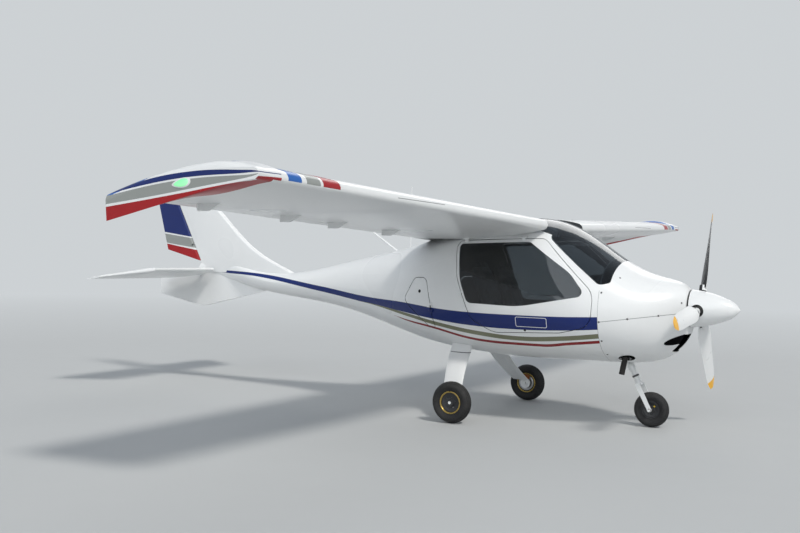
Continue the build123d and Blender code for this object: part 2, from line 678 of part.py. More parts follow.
# height, distance of the nose from the tail's end, half thickness
FIN_ROWS = [
    (1160.0, 1917.0, 44.0),
    (1240.0, 1730.0, 45.0),
    (1350.0, 1490.0, 44.0),
    (1520.0, 1240.0, 41.0),
    (1840.0, 880.0, 35.0),
    (2150.0, 525.0, 28.0),
]
RUDDER_RADIUS = 27.0
RUDDER_LUGS = (1440.0, 2010.0)


def rudder_lugs():
    """Hinge lugs that the fin carries, and the slots they sit in."""
    (s1, z1), (s2, z2) = RUDDER_HINGE_LOW, RUDDER_HINGE_TOP
    axis = Vector(s2 - s1, 0, z2 - z1).normalized()
    lugs = slots = None
    for z in RUDDER_LUGS:
        centre = Vector(hinge_station(z), 0, z)
        a, b = centre - axis * 6, centre + axis * 6
        pin = rod((a.X, 0, a.Z), (b.X, 0, b.Z), 9)
        plane = Plane(origin=(along(centre.X), 0, z), x_dir=(axis.Z, 0, axis.X), z_dir=(-axis.X, 0, axis.Z))
        lug = pin + plane * Box(RUDDER_RADIUS + 30, 14, 12, align=(Align.MIN, Align.CENTER, Align.CENTER))
        a, b = centre - axis * (6 + FIT_GAP), centre + axis * (6 + FIT_GAP)
        slot = rod((a.X, 0, a.Z), (b.X, 0, b.Z), RUDDER_RADIUS + 3)
        lugs = lug if lugs is None else lugs + lug
        slots = slot if slots is None else slots + slot
    return lugs, slots


def make_tail(outer):
    """Fin, rudder, ventral fin, all-moving tailplane and its tab."""
    fin = []
    for z, nose, half in FIN_ROWS:
        rear = hinge_station(z) - RUDDER_RADIUS * 1.13 - PANEL_GAP
        fin.append(tail_section(z, LENGTH - nose, rear, half, min(half, RUDDER_RADIUS) - 1))
    tube = rod((STAB_PIVOT[0], -200, STAB_PIVOT[1]), (STAB_PIVOT[0], 200, STAB_PIVOT[1]), STAB_TUBE_DIA / 2 + 6)
    lugs, slots = rudder_lugs()
    keep("vertical_fin", single(outside(loft(fin), outer) + lugs - tube))
    z_low, z_top = 1200.0, 2150.0
    edges = ((z_low, LENGTH - 268.0), (z_top, LENGTH))
    wedge = []
    for z, rear in edges:
        s = hinge_station(z)
        r = RUDDER_RADIUS * 1.13
        corners = [(s, r - 3), (rear, 3), (rear, -3), (s, 3 - r)]
        wedge.append(closed_face([(a, b) for a, b in zip(corners, corners[1:] + corners[:1])],
                                 lambda u, v, z=z: (along(u), v, z)))
    nose = rod((hinge_station(z_low), 0, z_low), (hinge_station(z_top + 60), 0, z_top + 60), RUDDER_RADIUS)
    outline = [(RUDDER_HINGE_LOW[0] - 80, RUDDER_HINGE_LOW[1] - 2), (LENGTH - 196, 1390), (LENGTH + 40, 1392),
               (LENGTH + 40, z_top), (hinge_station(z_top) - 60, z_top)]
    rudder = (loft(wedge, True) + nose) & side_prism(outline, [0] * 5, -200, 200)
    keep("rudder", single(rudder - slots))

    keel_side = [(LENGTH - 1560, 990), (LENGTH - 1200, 905), (LENGTH - 730, 798), (LENGTH - 120, 912), (LENGTH - 132, 1080),
                 (LENGTH - 690, 1108), (LENGTH - 760, 1150), (LENGTH - 1500, 1100)]
    keel = side_prism(keel_side, [0, 200, 260, 10, 10, 0, 0, 0], -60, 60)
    lens = [((LENGTH - 1600, 0), (LENGTH - 900, 27), (LENGTH - 110, 6)), ((LENGTH - 110, 6), (LENGTH - 110, -6)),
            ((LENGTH - 110, -6), (LENGTH - 900, -27), (LENGTH - 1600, 0))]
    plan = closed_face(lens, lambda u, v: (along(u), v, 700))
    keel &= Solid.extrude(plan, Vector(0, 0, 600))
    keep("ventral_fin", single(outside(keel, outer) - tube))


def stab_place(y):
    """Function that places tailplane points, aft of the pivot and above the chord line, at rest."""
    pitch = math.radians(STAB_REST_DEG)
    s0, z0 = STAB_PIVOT

    def place(u, v):
        station = s0 + u * math.cos(pitch) + v * math.sin(pitch)
        z = z0 + v * math.cos(pitch) - u * math.sin(pitch)
        return (along(station), -y, z)

    return place


def stab_face(y, nose, chord, thick):
    """Symmetrical tailplane section."""
    t = thick / 2
    top = two_arcs((nose, 0, 90), (nose + 0.32 * chord, t, 0), t * 0.45)
    top += two_arcs((nose + 0.32 * chord, t, 0), (nose + chord, 2, -math.degrees(2.2 * t / chord)))
    low = [tuple((u, -v) for u, v in arc[::-1]) for arc in reversed(top)]
    return closed_face(top + [((nose + chord, 2), (nose + chord, -2))] + low, stab_place(y))


def stab_box(y_from, y_to, u_from, u_to):
    """Box in the tailplane's own tilted frame."""
    faces = []
    for y in (y_from, y_to):
        corners = [(u_from, -90), (u_to, -90), (u_to, 90), (u_from, 90)]
        faces.append(closed_face([(a, b) for a, b in zip(corners, corners[1:] + corners[:1])], stab_place(y)))
    return loft(faces, True)


def make_tailplane():
    """All-moving tailplane on its cross tube, with its trailing tabs."""
    nose = -0.25 * STAB_CHORD
    inboard = loft([stab_face(STAB_ROOT_Y, nose, STAB_CHORD, STAB_THICK), stab_face(950, nose, STAB_CHORD, STAB_THICK)], True)
    tip = loft([stab_face(950, nose, STAB_CHORD, STAB_THICK), stab_face(STAB_HALF_SPAN, nose + 500, STAB_CHORD - 500, 22)], True)
    half = inboard + tip
    tail = nose + STAB_CHORD
    tab_from, tab_to = STAB_ROOT_Y + 60, 640
    half -= stab_box(tab_from - PANEL_GAP, tab_to + PANEL_GAP, tail - TAB_CHORD - PANEL_GAP, tail + 40)
    tube = rod((STAB_PIVOT[0], -300, STAB_PIVOT[1]), (STAB_PIVOT[0], 300, STAB_PIVOT[1]), STAB_TUBE_DIA / 2)
    keep("tailplane", single(half + mirrored(half) + tube))
    whole = loft([stab_face(STAB_ROOT_Y, nose, STAB_CHORD, STAB_THICK), stab_face(950, nose, STAB_CHORD, STAB_THICK)], True)
    tab = whole & stab_box(tab_from, tab_to, tail - TAB_CHORD, tail + 40)
    pin_u = tail - TAB_CHORD + 7
    ends = [stab_place(y)(pin_u, 0) for y in (tab_from - PANEL_GAP + FIT_GAP, tab_to + PANEL_GAP - FIT_GAP)]
    a, b = [(LENGTH / 2 - x, y, z) for x, y, z in ends]
    tab = tab + rod(a, b, 2.5)
    keep("servo_tabs", Compound([single(tab), single(mirrored(tab))]))


# Wheels and landing gear

def ring(profile, station, y, z):
    """Turned solid about a wheel's axle: profile points (radius, across) joined by lines or arcs."""
    edges = []
    for piece in profile:
        points = [(along(station), y + across, z + radius) for radius, across in piece]
        edges.append((ThreePointArc(*points) if len(points) == 3 else Line(*points)).edge())
    return Solid.revolve(Face(Wire(edges)), 360, Axis((along(station), y, z), (0, 1, 0)))


def wheel(station, y, dia, width, rim_dia, hub_half):
    """Tyre and rim of one wheel."""
    r, w, rim = dia / 2, width / 2, rim_dia / 2
    seat = w * 0.62
    k = 0.72
    tyre = ring([((rim, -seat), (rim + (r - rim) * 0.5, -w), (r - w * 0.28, -w * k)),
                 ((r - w * 0.28, -w * k), (r, 0), (r - w * 0.28, w * k)),
                 ((r - w * 0.28, w * k), (rim + (r - rim) * 0.5, w), (rim, seat)),
                 ((rim, seat), (rim, -seat))], station, y, r)
    bore = AXLE_DIA / 2 + 0.5
    disc = [((bore, -hub_half), (rim * 0.36, -hub_half)), ((rim * 0.36, -hub_half), (rim * 0.42, -9)),
            ((rim * 0.42, -9), (rim * 0.82, -12)), ((rim * 0.82, -12), (rim * 0.93, -seat)),
            ((rim * 0.93, -seat), (rim, -seat)), ((rim, -seat), (rim, seat)), ((rim, seat), (rim * 0.93, seat)),
            ((rim * 0.93, seat), (rim * 0.82, 12)), ((rim * 0.82, 12), (rim * 0.42, 9)), ((rim * 0.42, 9), (rim * 0.36, hub_half)),
            ((rim * 0.36, hub_half), (bore, hub_half)), ((bore, hub_half), (bore, -hub_half))]
    return tyre, ring(disc, station, y, r)


def foil_face(station, y, z, chord, thick):
    """Level streamlined section of a gear leg."""
    top = two_arcs((0, 0, 90), (0.3 * chord, thick / 2, 0), thick * 0.2)
    top += two_arcs((0.3 * chord, thick / 2, 0), (chord, 1.5, -math.degrees(1.6 * thick / chord)))
    low = [tuple((u, -v) for u, v in arc[::-1]) for arc in reversed(top)]
    return closed_face(top + [((chord, 1.5), (chord, -1.5))] + low, lambda u, v: (along(station + u), y + v, z))


def make_gear(outer):
    """Main legs and wheels, nose strut, fork and wheel."""
    y_wheel = TRACK / 2
    tyre, rim = wheel(MAIN_WHEEL_STATION, -y_wheel, MAIN_TYRE_DIA, MAIN_TYRE_WIDTH, RIM_SHARE_DIA, 45)
    both_sides("main_tyre", tyre)
    both_sides("main_rim", rim)
    leg = loft([foil_face(2190, -300, 620, 200, 60), foil_face(2165, -480, 440, 185, 50), foil_face(2085, -752, 205, 160, 36)])
    z_axle = MAIN_TYRE_DIA / 2
    inner_end = y_wheel - 45 - 2
    plate = rod((MAIN_WHEEL_STATION, -inner_end + 18, z_axle), (MAIN_WHEEL_STATION, -inner_end, z_axle), 48)
    axle = rod((MAIN_WHEEL_STATION, -735, z_axle), (MAIN_WHEEL_STATION, -y_wheel - 46, z_axle), AXLE_DIA / 2)
    leg = leg - outer
    both_sides("main_leg", single(leg + plate + axle))

    s0, z0 = STRUT_TOP
    s1, z1 = NOSE_WHEEL_STATION, NOSE_TYRE_DIA / 2
    run = math.hypot(s1 - s0, z1 - z0)
    ds, dz = (s1 - s0) / run, (z1 - z0) / run

    def down(distance, y=0.0):
        return (s0 + ds * distance, y, z0 + dz * distance)

    head_end = 205.0
    strut = rod(down(-140), down(head_end - FIT_GAP), STRUT_DIA / 2) + rod(down(60), down(110), STRUT_DIA / 2 + 8)
    keep("nose_strut", single(strut))
    arm_y = NOSE_TYRE_WIDTH / 2 + 16
    fork = rod(down(head_end), down(head_end + 50), STRUT_DIA / 2 + 3)
    crown_z = down(head_end + 48)
    for side in (-1, 1):
        arm = rod(down(head_end + 40, side * arm_y), down(run, side * arm_y), 13)
        fork = fork + arm
    fork = fork + rod((crown_z[0], -arm_y, crown_z[2]), (crown_z[0], arm_y, crown_z[2]), 16)
    pin_y = arm_y + 13 + TOW_PIN_LENGTH
    fork = fork + rod((s1, -arm_y - 13, z1), (s1, arm_y + 13, z1), AXLE_DIA / 2)
    fork = fork + rod((s1, -pin_y, z1), (s1, pin_y, z1), TOW_PIN_DIA / 2 - TOW_PIN_NECK)
    for side in (-1, 1):
        fork = fork + rod((s1, side * (arm_y + 13 + TOW_PIN_NECK), z1), (s1, side * pin_y, z1), TOW_PIN_DIA / 2)
    keep("nose_fork", single(fork))
    tyre, rim = wheel(NOSE_WHEEL_STATION, 0.0, NOSE_TYRE_DIA, NOSE_TYRE_WIDTH, 150.0, 40)
    keep("nose_tyre", tyre)
    keep("nose_rim", rim)


def make_small_pieces(outer, wing):
    """Exhaust pipe, lamps and aerials."""
    knee = (EXHAUST_STATION - 10, -EXHAUST_SIDE, 650)
    radius = EXHAUST_DIA / 2
    pipe = rod(knee, (EXHAUST_STATION + 30, -EXHAUST_SIDE, 447), radius) + Pos(along(knee[0]), knee[1], knee[2]) * Sphere(radius)
    pipe = pipe + rod((knee[0] - 20, -ENGINE_WIDTH / 2 + 40, ENGINE_LOW_Z - FIT_GAP), knee, radius)
    pipe = pipe - block(0, FIREWALL, -FAR, 0, ENGINE_LOW_Z - FIT_GAP, 1000)
    keep("exhaust_pipe", single(pipe))
    whip = outside(rod((3000, 0, 1440), (3000, 0, 2020), 4), outer)
    mast = outside(rod((3130, 0, 1410), (3520, 0, 1660), 9), outer)
    keep("aerials", Compound([single(whip), single(mast)]))
    lamp = rod((2055, -SPAN / 2 + 60, 1712), (2055, -SPAN / 2, 1712), 20)
    both_sides("tip_lamp", single(lamp - wing))


if __name__ == "__main__":
    os.makedirs("parts", exist_ok=True)
    wing_shape = make_wings()
    sections = body_rows()
    outer_body = half_body(sections)
    make_shell(sections, outer_body)
    make_nose(sections, outer_body)
    make_inside(sections)
    make_propeller()
    make_tail(outer_body)
    make_tailplane()
    make_gear(outer_body)
    make_small_pieces(outer_body, wing_shape)
    for part_name, part_shape in PARTS.items():
        export_step(part_shape, f"parts/{part_name}.step")
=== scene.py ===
import math
import bpy
import numpy as np
from mathutils import Matrix, Vector
from mathutils.bvhtree import BVHTree


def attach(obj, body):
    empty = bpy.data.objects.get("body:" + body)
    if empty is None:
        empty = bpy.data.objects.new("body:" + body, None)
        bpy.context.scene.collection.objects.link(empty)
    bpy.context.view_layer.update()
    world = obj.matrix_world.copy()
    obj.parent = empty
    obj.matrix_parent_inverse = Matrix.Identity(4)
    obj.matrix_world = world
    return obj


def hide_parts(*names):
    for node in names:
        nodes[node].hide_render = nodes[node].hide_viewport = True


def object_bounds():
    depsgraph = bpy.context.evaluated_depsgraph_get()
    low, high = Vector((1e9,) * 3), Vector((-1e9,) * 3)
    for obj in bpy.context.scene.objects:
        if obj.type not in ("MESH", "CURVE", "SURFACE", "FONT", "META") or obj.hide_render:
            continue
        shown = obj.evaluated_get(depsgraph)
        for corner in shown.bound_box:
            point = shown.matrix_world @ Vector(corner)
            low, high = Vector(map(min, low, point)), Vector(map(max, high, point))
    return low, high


# Every place below is (station, side, height) in metres: station runs aft from the spinner's tip,
# side is +Y to port, height is above the ground. A station turns into X as nose minus station.
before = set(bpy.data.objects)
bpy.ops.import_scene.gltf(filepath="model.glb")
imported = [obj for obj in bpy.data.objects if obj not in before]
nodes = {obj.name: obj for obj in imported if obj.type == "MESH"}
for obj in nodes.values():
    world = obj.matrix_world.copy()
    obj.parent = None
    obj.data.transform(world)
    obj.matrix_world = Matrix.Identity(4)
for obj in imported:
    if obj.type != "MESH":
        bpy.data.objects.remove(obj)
cadBox = [list(corner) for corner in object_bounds()]
nose = round(cadBox[1][0], 4)
propAxis = 0.998  # height of the propeller's axis
bothSides = ((-1, "right"), (1, "left"))
print("stage: frame loaded")


def at(station, side, height):
    return Vector((nose - station, side, height))


# the same for whole arrays
def spread(station, side, height):
    return np.stack(np.broadcast_arrays(nose - station, side, height), axis=-1)


# Camera, backdrop and light

view = {"station": -1.554, "side": -8.300, "height": 1.384, "yaw": 0.5119, "pitch": -0.0119, "roll": 0.0216,
        "lens": 45.36, "sensor": 36, "reach": 400}


def makeCamera():
    cosYaw, sinYaw = math.cos(view["yaw"]), math.sin(view["yaw"])
    cosPitch, sinPitch = math.cos(view["pitch"]), math.sin(view["pitch"])
    cosRoll, sinRoll = math.cos(view["roll"]), math.sin(view["roll"])
    ahead = Vector((-sinYaw * cosPitch, cosYaw * cosPitch, sinPitch))
    right = Vector((cosYaw, sinYaw, 0))
    up = right.cross(ahead)
    across = right * cosRoll + up * sinRoll
    upright = up * cosRoll - right * sinRoll
    data = bpy.data.cameras.new("photoCamera")
    data.lens = view["lens"]
    data.sensor_width = view["sensor"]
    data.clip_end = view["reach"]
    camera = bpy.data.objects.new("photoCamera", data)
    bpy.context.scene.collection.objects.link(camera)
    turn = Matrix((across, upright, -ahead)).transposed().to_4x4()
    camera.matrix_world = Matrix.Translation(at(view["station"], view["side"], view["height"])) @ turn
    bpy.context.scene.camera = camera


# colours of the floor, of the backdrop and of the world's light, which is pale near the horizon and cooler
# overhead; the floor fades into the backdrop between two distances
studio = {"floor": (0.50, 0.51, 0.51), "backdrop": (0.61, 0.64, 0.66), "horizon": (0.80, 0.83, 0.86),
          "zenith": (0.46, 0.52, 0.60), "overhead": 0.75, "skyStrength": 0.66, "fade": (7.0, 22.0),
          "half": 90}
# name, direction that the light comes from, spread in degrees, strength and colour
suns = [
    ("keySun", (0.606, -0.283, 0.743), 9, 1.95, (1.0, 0.97, 0.92)),
    ("fillSun", (0.1, -0.85, 0.45), 50, 0.85, (0.95, 0.98, 1.0)),
    ("rimSun", (-0.2, 0.8, 0.5), 30, 0.35, (1.0, 0.98, 0.95)),
]


def makeStudio():
    scene = bpy.context.scene
    scene.view_settings.view_transform = "Standard"
    world = bpy.data.worlds.new("studioWorld")
    scene.world = world
    world.use_nodes = True
    tree = world.node_tree
    tree.nodes.clear()
    out = tree.nodes.new("ShaderNodeOutputWorld")
    path = tree.nodes.new("ShaderNodeLightPath")
    seen = tree.nodes.new("ShaderNodeBackground")
    seen.inputs["Color"].default_value = (*studio["backdrop"], 1)
    coords = tree.nodes.new("ShaderNodeTexCoord")
    split = tree.nodes.new("ShaderNodeSeparateXYZ")
    tree.links.new(coords.outputs["Generated"], split.inputs[0])
    ramp = tree.nodes.new("ShaderNodeMapRange")
    ramp.inputs["From Max"].default_value = studio["overhead"]
    tree.links.new(split.outputs[2], ramp.inputs["Value"])
    shade = tree.nodes.new("ShaderNodeMix")
    shade.data_type = "RGBA"
    shade.inputs["A"].default_value = (*studio["horizon"], 1)
    shade.inputs["B"].default_value = (*studio["zenith"], 1)
    tree.links.new(ramp.outputs[0], shade.inputs["Factor"])
    lit = tree.nodes.new("ShaderNodeBackground")
    lit.inputs["Strength"].default_value = studio["skyStrength"]
    tree.links.new(shade.outputs["Result"], lit.inputs["Color"])
    mix = tree.nodes.new("ShaderNodeMixShader")
    tree.links.new(path.outputs["Is Camera Ray"], mix.inputs["Fac"])
    tree.links.new(lit.outputs[0], mix.inputs[1])
    tree.links.new(seen.outputs[0], mix.inputs[2])
    tree.links.new(mix.outputs[0], out.inputs["Surface"])
    for name, source, spreadAngle, strength, color in suns:
        data = bpy.data.lights.new(name, "SUN")
        data.energy = strength
        data.angle = math.radians(spreadAngle)
        data.color = color
        light = bpy.data.objects.new(name, data)
        scene.collection.objects.link(light)
        light.rotation_euler = (-Vector(source)).to_track_quat("-Z", "Y").to_euler()


# Node trees

# A shader tree with short calls: maths, mixing and the coordinates that the paint reads
class Tree:
    def __init__(self, name):
        self.material = bpy.data.materials.new(name)
        self.material.use_nodes = True
        self.nodes = self.material.node_tree.nodes
        self.links = self.material.node_tree.links
        self.shader = self.nodes["Principled BSDF"]
        self.coords = None

    def plug(self, socket, value):
        if isinstance(value, bpy.types.NodeSocket):
            self.links.new(value, socket)
        elif isinstance(value, (tuple, list)) and len(socket.default_value) == 4 and len(value) == 3:
            socket.default_value = (*value, 1)
        else:
            socket.default_value = value

    def sums(self, operation, a, b=0.0, c=0.0):
        node = self.nodes.new("ShaderNodeMath")
        node.operation = operation
        for socket, value in zip(node.inputs, (a, b, c)):
            self.plug(socket, value)
        return node.outputs[0]

    def vector(self, operation, a, b=(0, 0, 0)):
        node = self.nodes.new("ShaderNodeVectorMath")
        node.operation = operation
        self.plug(node.inputs[0], a)
        self.plug(node.inputs[1], b)
        return node.outputs["Value"] if operation in ("DOT_PRODUCT", "LENGTH") else node.outputs[0]

    def coord(self, name="Object"):
        if self.coords is None:
            self.coords = self.nodes.new("ShaderNodeTexCoord")
        return self.coords.outputs[name]

    # the three parts of a vector
    def parts(self, vector):
        split = self.nodes.new("ShaderNodeSeparateXYZ")
        self.links.new(vector, split.inputs[0])
        return split.outputs

    # station, distance from the middle plane, and height
    def place(self):
        x, y, z = self.parts(self.coord())
        return self.sums("SUBTRACT", nose, x), self.sums("ABSOLUTE", y), z

    # what a point is off an axis that runs along the aircraft at this height
    def arm(self, height):
        return self.vector("MULTIPLY", self.vector("SUBTRACT", self.coord(), (0, 0, height)), (0, 1, 1))

    def noise(self, scale, detail=3.0):
        node = self.nodes.new("ShaderNodeTexNoise")
        node.inputs["Scale"].default_value = scale
        node.inputs["Detail"].default_value = detail
        self.links.new(self.coord(), node.inputs["Vector"])
        return node.outputs["Fac"]

    def scaled(self, value, low, high, newLow, newHigh):
        node = self.nodes.new("ShaderNodeMapRange")
        for socket, number in zip(node.inputs[:5], (value, low, high, newLow, newHigh)):
            self.plug(socket, number)
        return node.outputs[0]

    def mixed(self, share, a, b, blend="MIX"):
        node = self.nodes.new("ShaderNodeMix")
        node.data_type = "RGBA"
        node.blend_type = blend
        self.plug(node.inputs["Factor"], share)
        self.plug(node.inputs["A"], a)
        self.plug(node.inputs["B"], b)
        return node.outputs["Result"]

    # smooth line through (along, up) points; the curve itself runs from 0 to 1 both ways
    def edge(self, where, points, span, rise=2.4):
        node = self.nodes.new("ShaderNodeFloatCurve")
        curve = node.mapping.curves[0]
        ordered = sorted(points)
        while len(curve.points) < len(ordered):
            curve.points.new(0.5, 0.5)
        for point, (along, up) in zip(curve.points, ordered):
            point.location = ((along - span[0]) / (span[1] - span[0]), up / rise)
            point.handle_type = "AUTO_CLAMPED"
        node.mapping.update()
        self.plug(node.inputs["Value"], self.scaled(where, span[0], span[1], 0.0, 1.0))
        return self.sums("MULTIPLY", node.outputs[0], rise)

    # distance from (a, b) to the nearest point of a line through the given points
    def lineDistance(self, a, b, points):
        nearest = None
        for (a1, b1), (a2, b2) in zip(points, points[1:]):
            da, db = a2 - a1, b2 - b1
            squared = da * da + db * db
            pa, pb = self.sums("SUBTRACT", a, a1), self.sums("SUBTRACT", b, b1)
            share = self.sums("MULTIPLY_ADD", pa, da / squared, self.sums("MULTIPLY", pb, db / squared))
            share = self.sums("MINIMUM", self.sums("MAXIMUM", share, 0.0), 1.0)
            offA = self.sums("SUBTRACT", pa, self.sums("MULTIPLY", share, da))
            offB = self.sums("SUBTRACT", pb, self.sums("MULTIPLY", share, db))
            off = self.sums("SQRT", self.sums("MULTIPLY_ADD", offA, offA, self.sums("MULTIPLY", offB, offB)))
            nearest = off if nearest is None else self.sums("MINIMUM", nearest, off)
        return nearest

    # share of 1 on a thin line: within half a width of the line
    def seam(self, a, b, points, width):
        return self.sums("LESS_THAN", self.lineDistance(a, b, points), width / 2)

    def between(self, value, low, high):
        above = self.sums("GREATER_THAN", value, low)
        return self.sums("MULTIPLY", above, self.sums("LESS_THAN", value, high))

    def bump(self, height, strength, distance=0.001):
        node = self.nodes.new("ShaderNodeBump")
        node.inputs["Strength"].default_value = strength
        node.inputs["Distance"].default_value = distance
        self.plug(node.inputs["Height"], height)
        self.links.new(node.outputs[0], self.shader.inputs["Normal"])

    def finish(self, color, roughness, **others):
        self.plug(self.shader.inputs["Base Color"], color)
        self.plug(self.shader.inputs["Roughness"], roughness)
        for name, value in others.items():
            self.plug(self.shader.inputs[name.replace("_", " ")], value)
        return self.material


paint = {
    "white": (0.80, 0.81, 0.81), "legWhite": (0.78, 0.79, 0.79), "navy": (0.003, 0.017, 0.135),
    # olive: the silver stripe coloured olive, a painted reflection of the green ground
    "blue": (0.014, 0.120, 0.44), "silver": (0.30, 0.315, 0.30), "olive": (0.18, 0.185, 0.115),
    # darkRed: the red with painted shade, for the low fuselage side
    "red": (0.36, 0.004, 0.008), "darkRed": (0.24, 0.003, 0.006), "seam": (0.24, 0.245, 0.25),
    # cowlInsideDark: near black for the faces inside the cowling
    "trim": (0.045, 0.048, 0.052), "cowlInsideDark": (0.02, 0.02, 0.02),
}

# Gel coat: a very slow wave of the moulded skin, faint dust, and a clear coat
gel = {"wave": 1.1, "waveBump": 0.05, "dust": 26.0, "dusty": 0.988, "rough": (0.27, 0.31), "specular": 0.38,
       "coat": 0.22, "coatRough": 0.08}


def gelFinish(tree, color):
    wave = tree.noise(gel["wave"], 1.0)
    dust = tree.scaled(tree.noise(gel["dust"], 5.0), 0.35, 0.75, gel["dusty"], 1.0)
    tree.bump(wave, gel["waveBump"])
    return tree.finish(tree.mixed(1.0, color, dust, "MULTIPLY"), tree.scaled(wave, 0.3, 0.7, *gel["rough"]),
                       Specular_IOR_Level=gel["specular"], Coat_Weight=gel["coat"],
                       Coat_Roughness=gel["coatRough"])


# linings: the height that a face must look towards, in the cabin and in the cowling, how squarely,
# and where the shoulders under the wing start, which stay white
lining = {"cabin": 1.08, "cowl": 0.93, "facing": -0.004, "shoulder": (0.44, 1.50)}


# share of 1 on faces that look inwards, to the middle of the cabin or cowling
def insideShare(tree, middle):
    station, side, height = tree.place()
    facing = tree.vector("DOT_PRODUCT", tree.arm(middle), tree.coord("Normal"))
    inward = tree.sums("LESS_THAN", facing, lining["facing"])
    outboard = tree.sums("GREATER_THAN", side, lining["shoulder"][0])
    shoulder = tree.sums("MULTIPLY", outboard, tree.sums("GREATER_THAN", height, lining["shoulder"][1]))
    return tree.sums("MULTIPLY", inward, tree.sums("SUBTRACT", 1.0, shoulder))


# side stripes: each runs from the front station to its own aft one, between two edges of (station, height)
stripes = {
    "span": (0.9, 5.5), "front": 0.9,
    "bands": [
        {"tone": "navy", "aft": 5.36,
         "top": [(5.40, 1.186), (5.30, 1.184), (4.70, 1.160), (3.87, 1.060), (3.32, 0.990), (2.80, 0.960),
                 (2.46, 0.930), (2.11, 0.912), (1.66, 0.908), (1.31, 0.910), (0.95, 0.922)],
         "low": [(5.40, 1.180), (5.30, 1.166), (4.70, 1.130), (3.87, 1.010), (3.32, 0.930), (2.79, 0.870),
                 (2.45, 0.830), (2.11, 0.800), (1.65, 0.788), (1.30, 0.798), (0.95, 0.822)]},
        # the silver stripe, with a painted reflection of the green ground in it
        {"tone": "olive", "aft": 3.42,
         "top": [(5.40, 1.000), (3.42, 0.942), (2.79, 0.866), (2.45, 0.809), (2.01, 0.751), (1.65, 0.729),
                 (1.30, 0.749), (0.95, 0.790)],
         "low": [(5.40, 1.000), (3.42, 0.941), (2.79, 0.838), (2.45, 0.775), (2.01, 0.713), (1.65, 0.691),
                 (1.30, 0.711), (0.95, 0.752)]},
        # the red stripe, darkened as painted shade
        {"tone": "darkRed", "aft": 2.96,
         "top": [(5.40, 0.850), (2.96, 0.832), (2.82, 0.808), (2.48, 0.761), (2.13, 0.693), (1.85, 0.673),
                 (1.49, 0.672), (1.23, 0.702), (0.95, 0.735)],
         "low": [(5.40, 0.850), (2.96, 0.831), (2.82, 0.796), (2.48, 0.741), (2.13, 0.670), (1.85, 0.649),
                 (1.49, 0.648), (1.23, 0.678), (0.95, 0.711)]},
    ],
    "plate": {"station": (1.395, 1.665), "height": (0.812, 0.895), "corner": 0.016, "line": 0.0045},
}


def bodyPaint():
    tree = Tree("gelcoatStriped")
    station, side, height = tree.place()
    color = paint["white"]
    for band in stripes["bands"]:
        low, top = (tree.edge(station, band[edge], stripes["span"]) for edge in ("low", "top"))
        reach = tree.between(station, stripes["front"], band["aft"])
        share = tree.sums("MULTIPLY", tree.between(height, low, top), reach)
        color = tree.mixed(share, color, paint[band["tone"]])
    # blank white outline: the distance to a rounded rectangle is the length of what lies past its inner box
    plate, past = stripes["plate"], []
    for value, (low, high) in ((station, plate["station"]), (height, plate["height"])):
        off = tree.sums("ABSOLUTE", tree.sums("SUBTRACT", value, (low + high) / 2))
        past.append(tree.sums("MAXIMUM", tree.sums("SUBTRACT", off, (high - low) / 2 - plate["corner"]), 0.0))
    squared = tree.sums("MULTIPLY_ADD", past[0], past[0], tree.sums("MULTIPLY", past[1], past[1]))
    line = tree.between(tree.sums("SQRT", squared), plate["corner"] - plate["line"], plate["corner"])
    color = tree.mixed(line, color, paint["white"])
    color = tree.mixed(insideShare(tree, lining["cabin"]), color, paint["trim"])
    return gelFinish(tree, color)


# joint lines of the cowling (station, height): between its halves, and along the firewall up to the
# windshield
cowlSeams = {"width": 0.0045, "split": [(0.380, 0.968), (0.990, 0.880)],
             "rear": [(0.990, 0.500), (0.990, 1.130), (0.850, 1.345)]}


def cowlPaint():
    tree = Tree("gelcoatCowl")
    station, side, height = tree.place()
    color = paint["white"]
    for line in ("split", "rear"):
        share = tree.seam(station, height, cowlSeams[line], cowlSeams["width"])
        color = tree.mixed(share, color, paint["seam"])
    # faces inside the cowling are coloured near black
    color = tree.mixed(insideShare(tree, lining["cowl"]), color, paint["cowlInsideDark"])
    return gelFinish(tree, color)


# bands on the tip's outer face, between edges of (station, height); the red one reaches the tip's lower edge
tipBands = {
    "span": (1.4, 2.8),
    "bands": [
        {"tone": "navy",
         "low": [(1.48, 1.784), (1.55, 1.784), (1.682, 1.778), (1.848, 1.774), (1.994, 1.767), (2.161, 1.751),
                 (2.38, 1.720), (2.569, 1.689), (2.641, 1.681), (2.80, 1.660)],
         "top": [(1.48, 1.770), (1.535, 1.782), (1.56, 1.790), (1.682, 1.797), (1.849, 1.801), (2.02, 1.794),
                 (2.198, 1.777), (2.38, 1.747), (2.569, 1.709), (2.642, 1.697), (2.80, 1.670)]},
        {"tone": "silver",
         "low": [(1.48, 1.790), (1.535, 1.784), (1.56, 1.772), (1.623, 1.757), (1.681, 1.748), (1.847, 1.726),
                 (2.018, 1.702), (2.195, 1.677), (2.472, 1.642), (2.669, 1.618), (2.80, 1.602)],
         "top": [(1.48, 1.776), (1.55, 1.776), (1.60, 1.772), (1.682, 1.769), (1.848, 1.765), (1.994, 1.757),
                 (2.161, 1.741), (2.38, 1.710), (2.569, 1.679), (2.641, 1.671), (2.80, 1.650)]},
        {"tone": "red", "low": None,
         "top": [(1.48, 1.784), (1.535, 1.774), (1.548, 1.768), (1.572, 1.750), (1.60, 1.744), (1.623, 1.741),
                 (1.68, 1.735), (1.846, 1.713), (2.018, 1.688), (2.195, 1.664), (2.472, 1.628), (2.672, 1.603),
                 (2.80, 1.586)]},
    ],
}
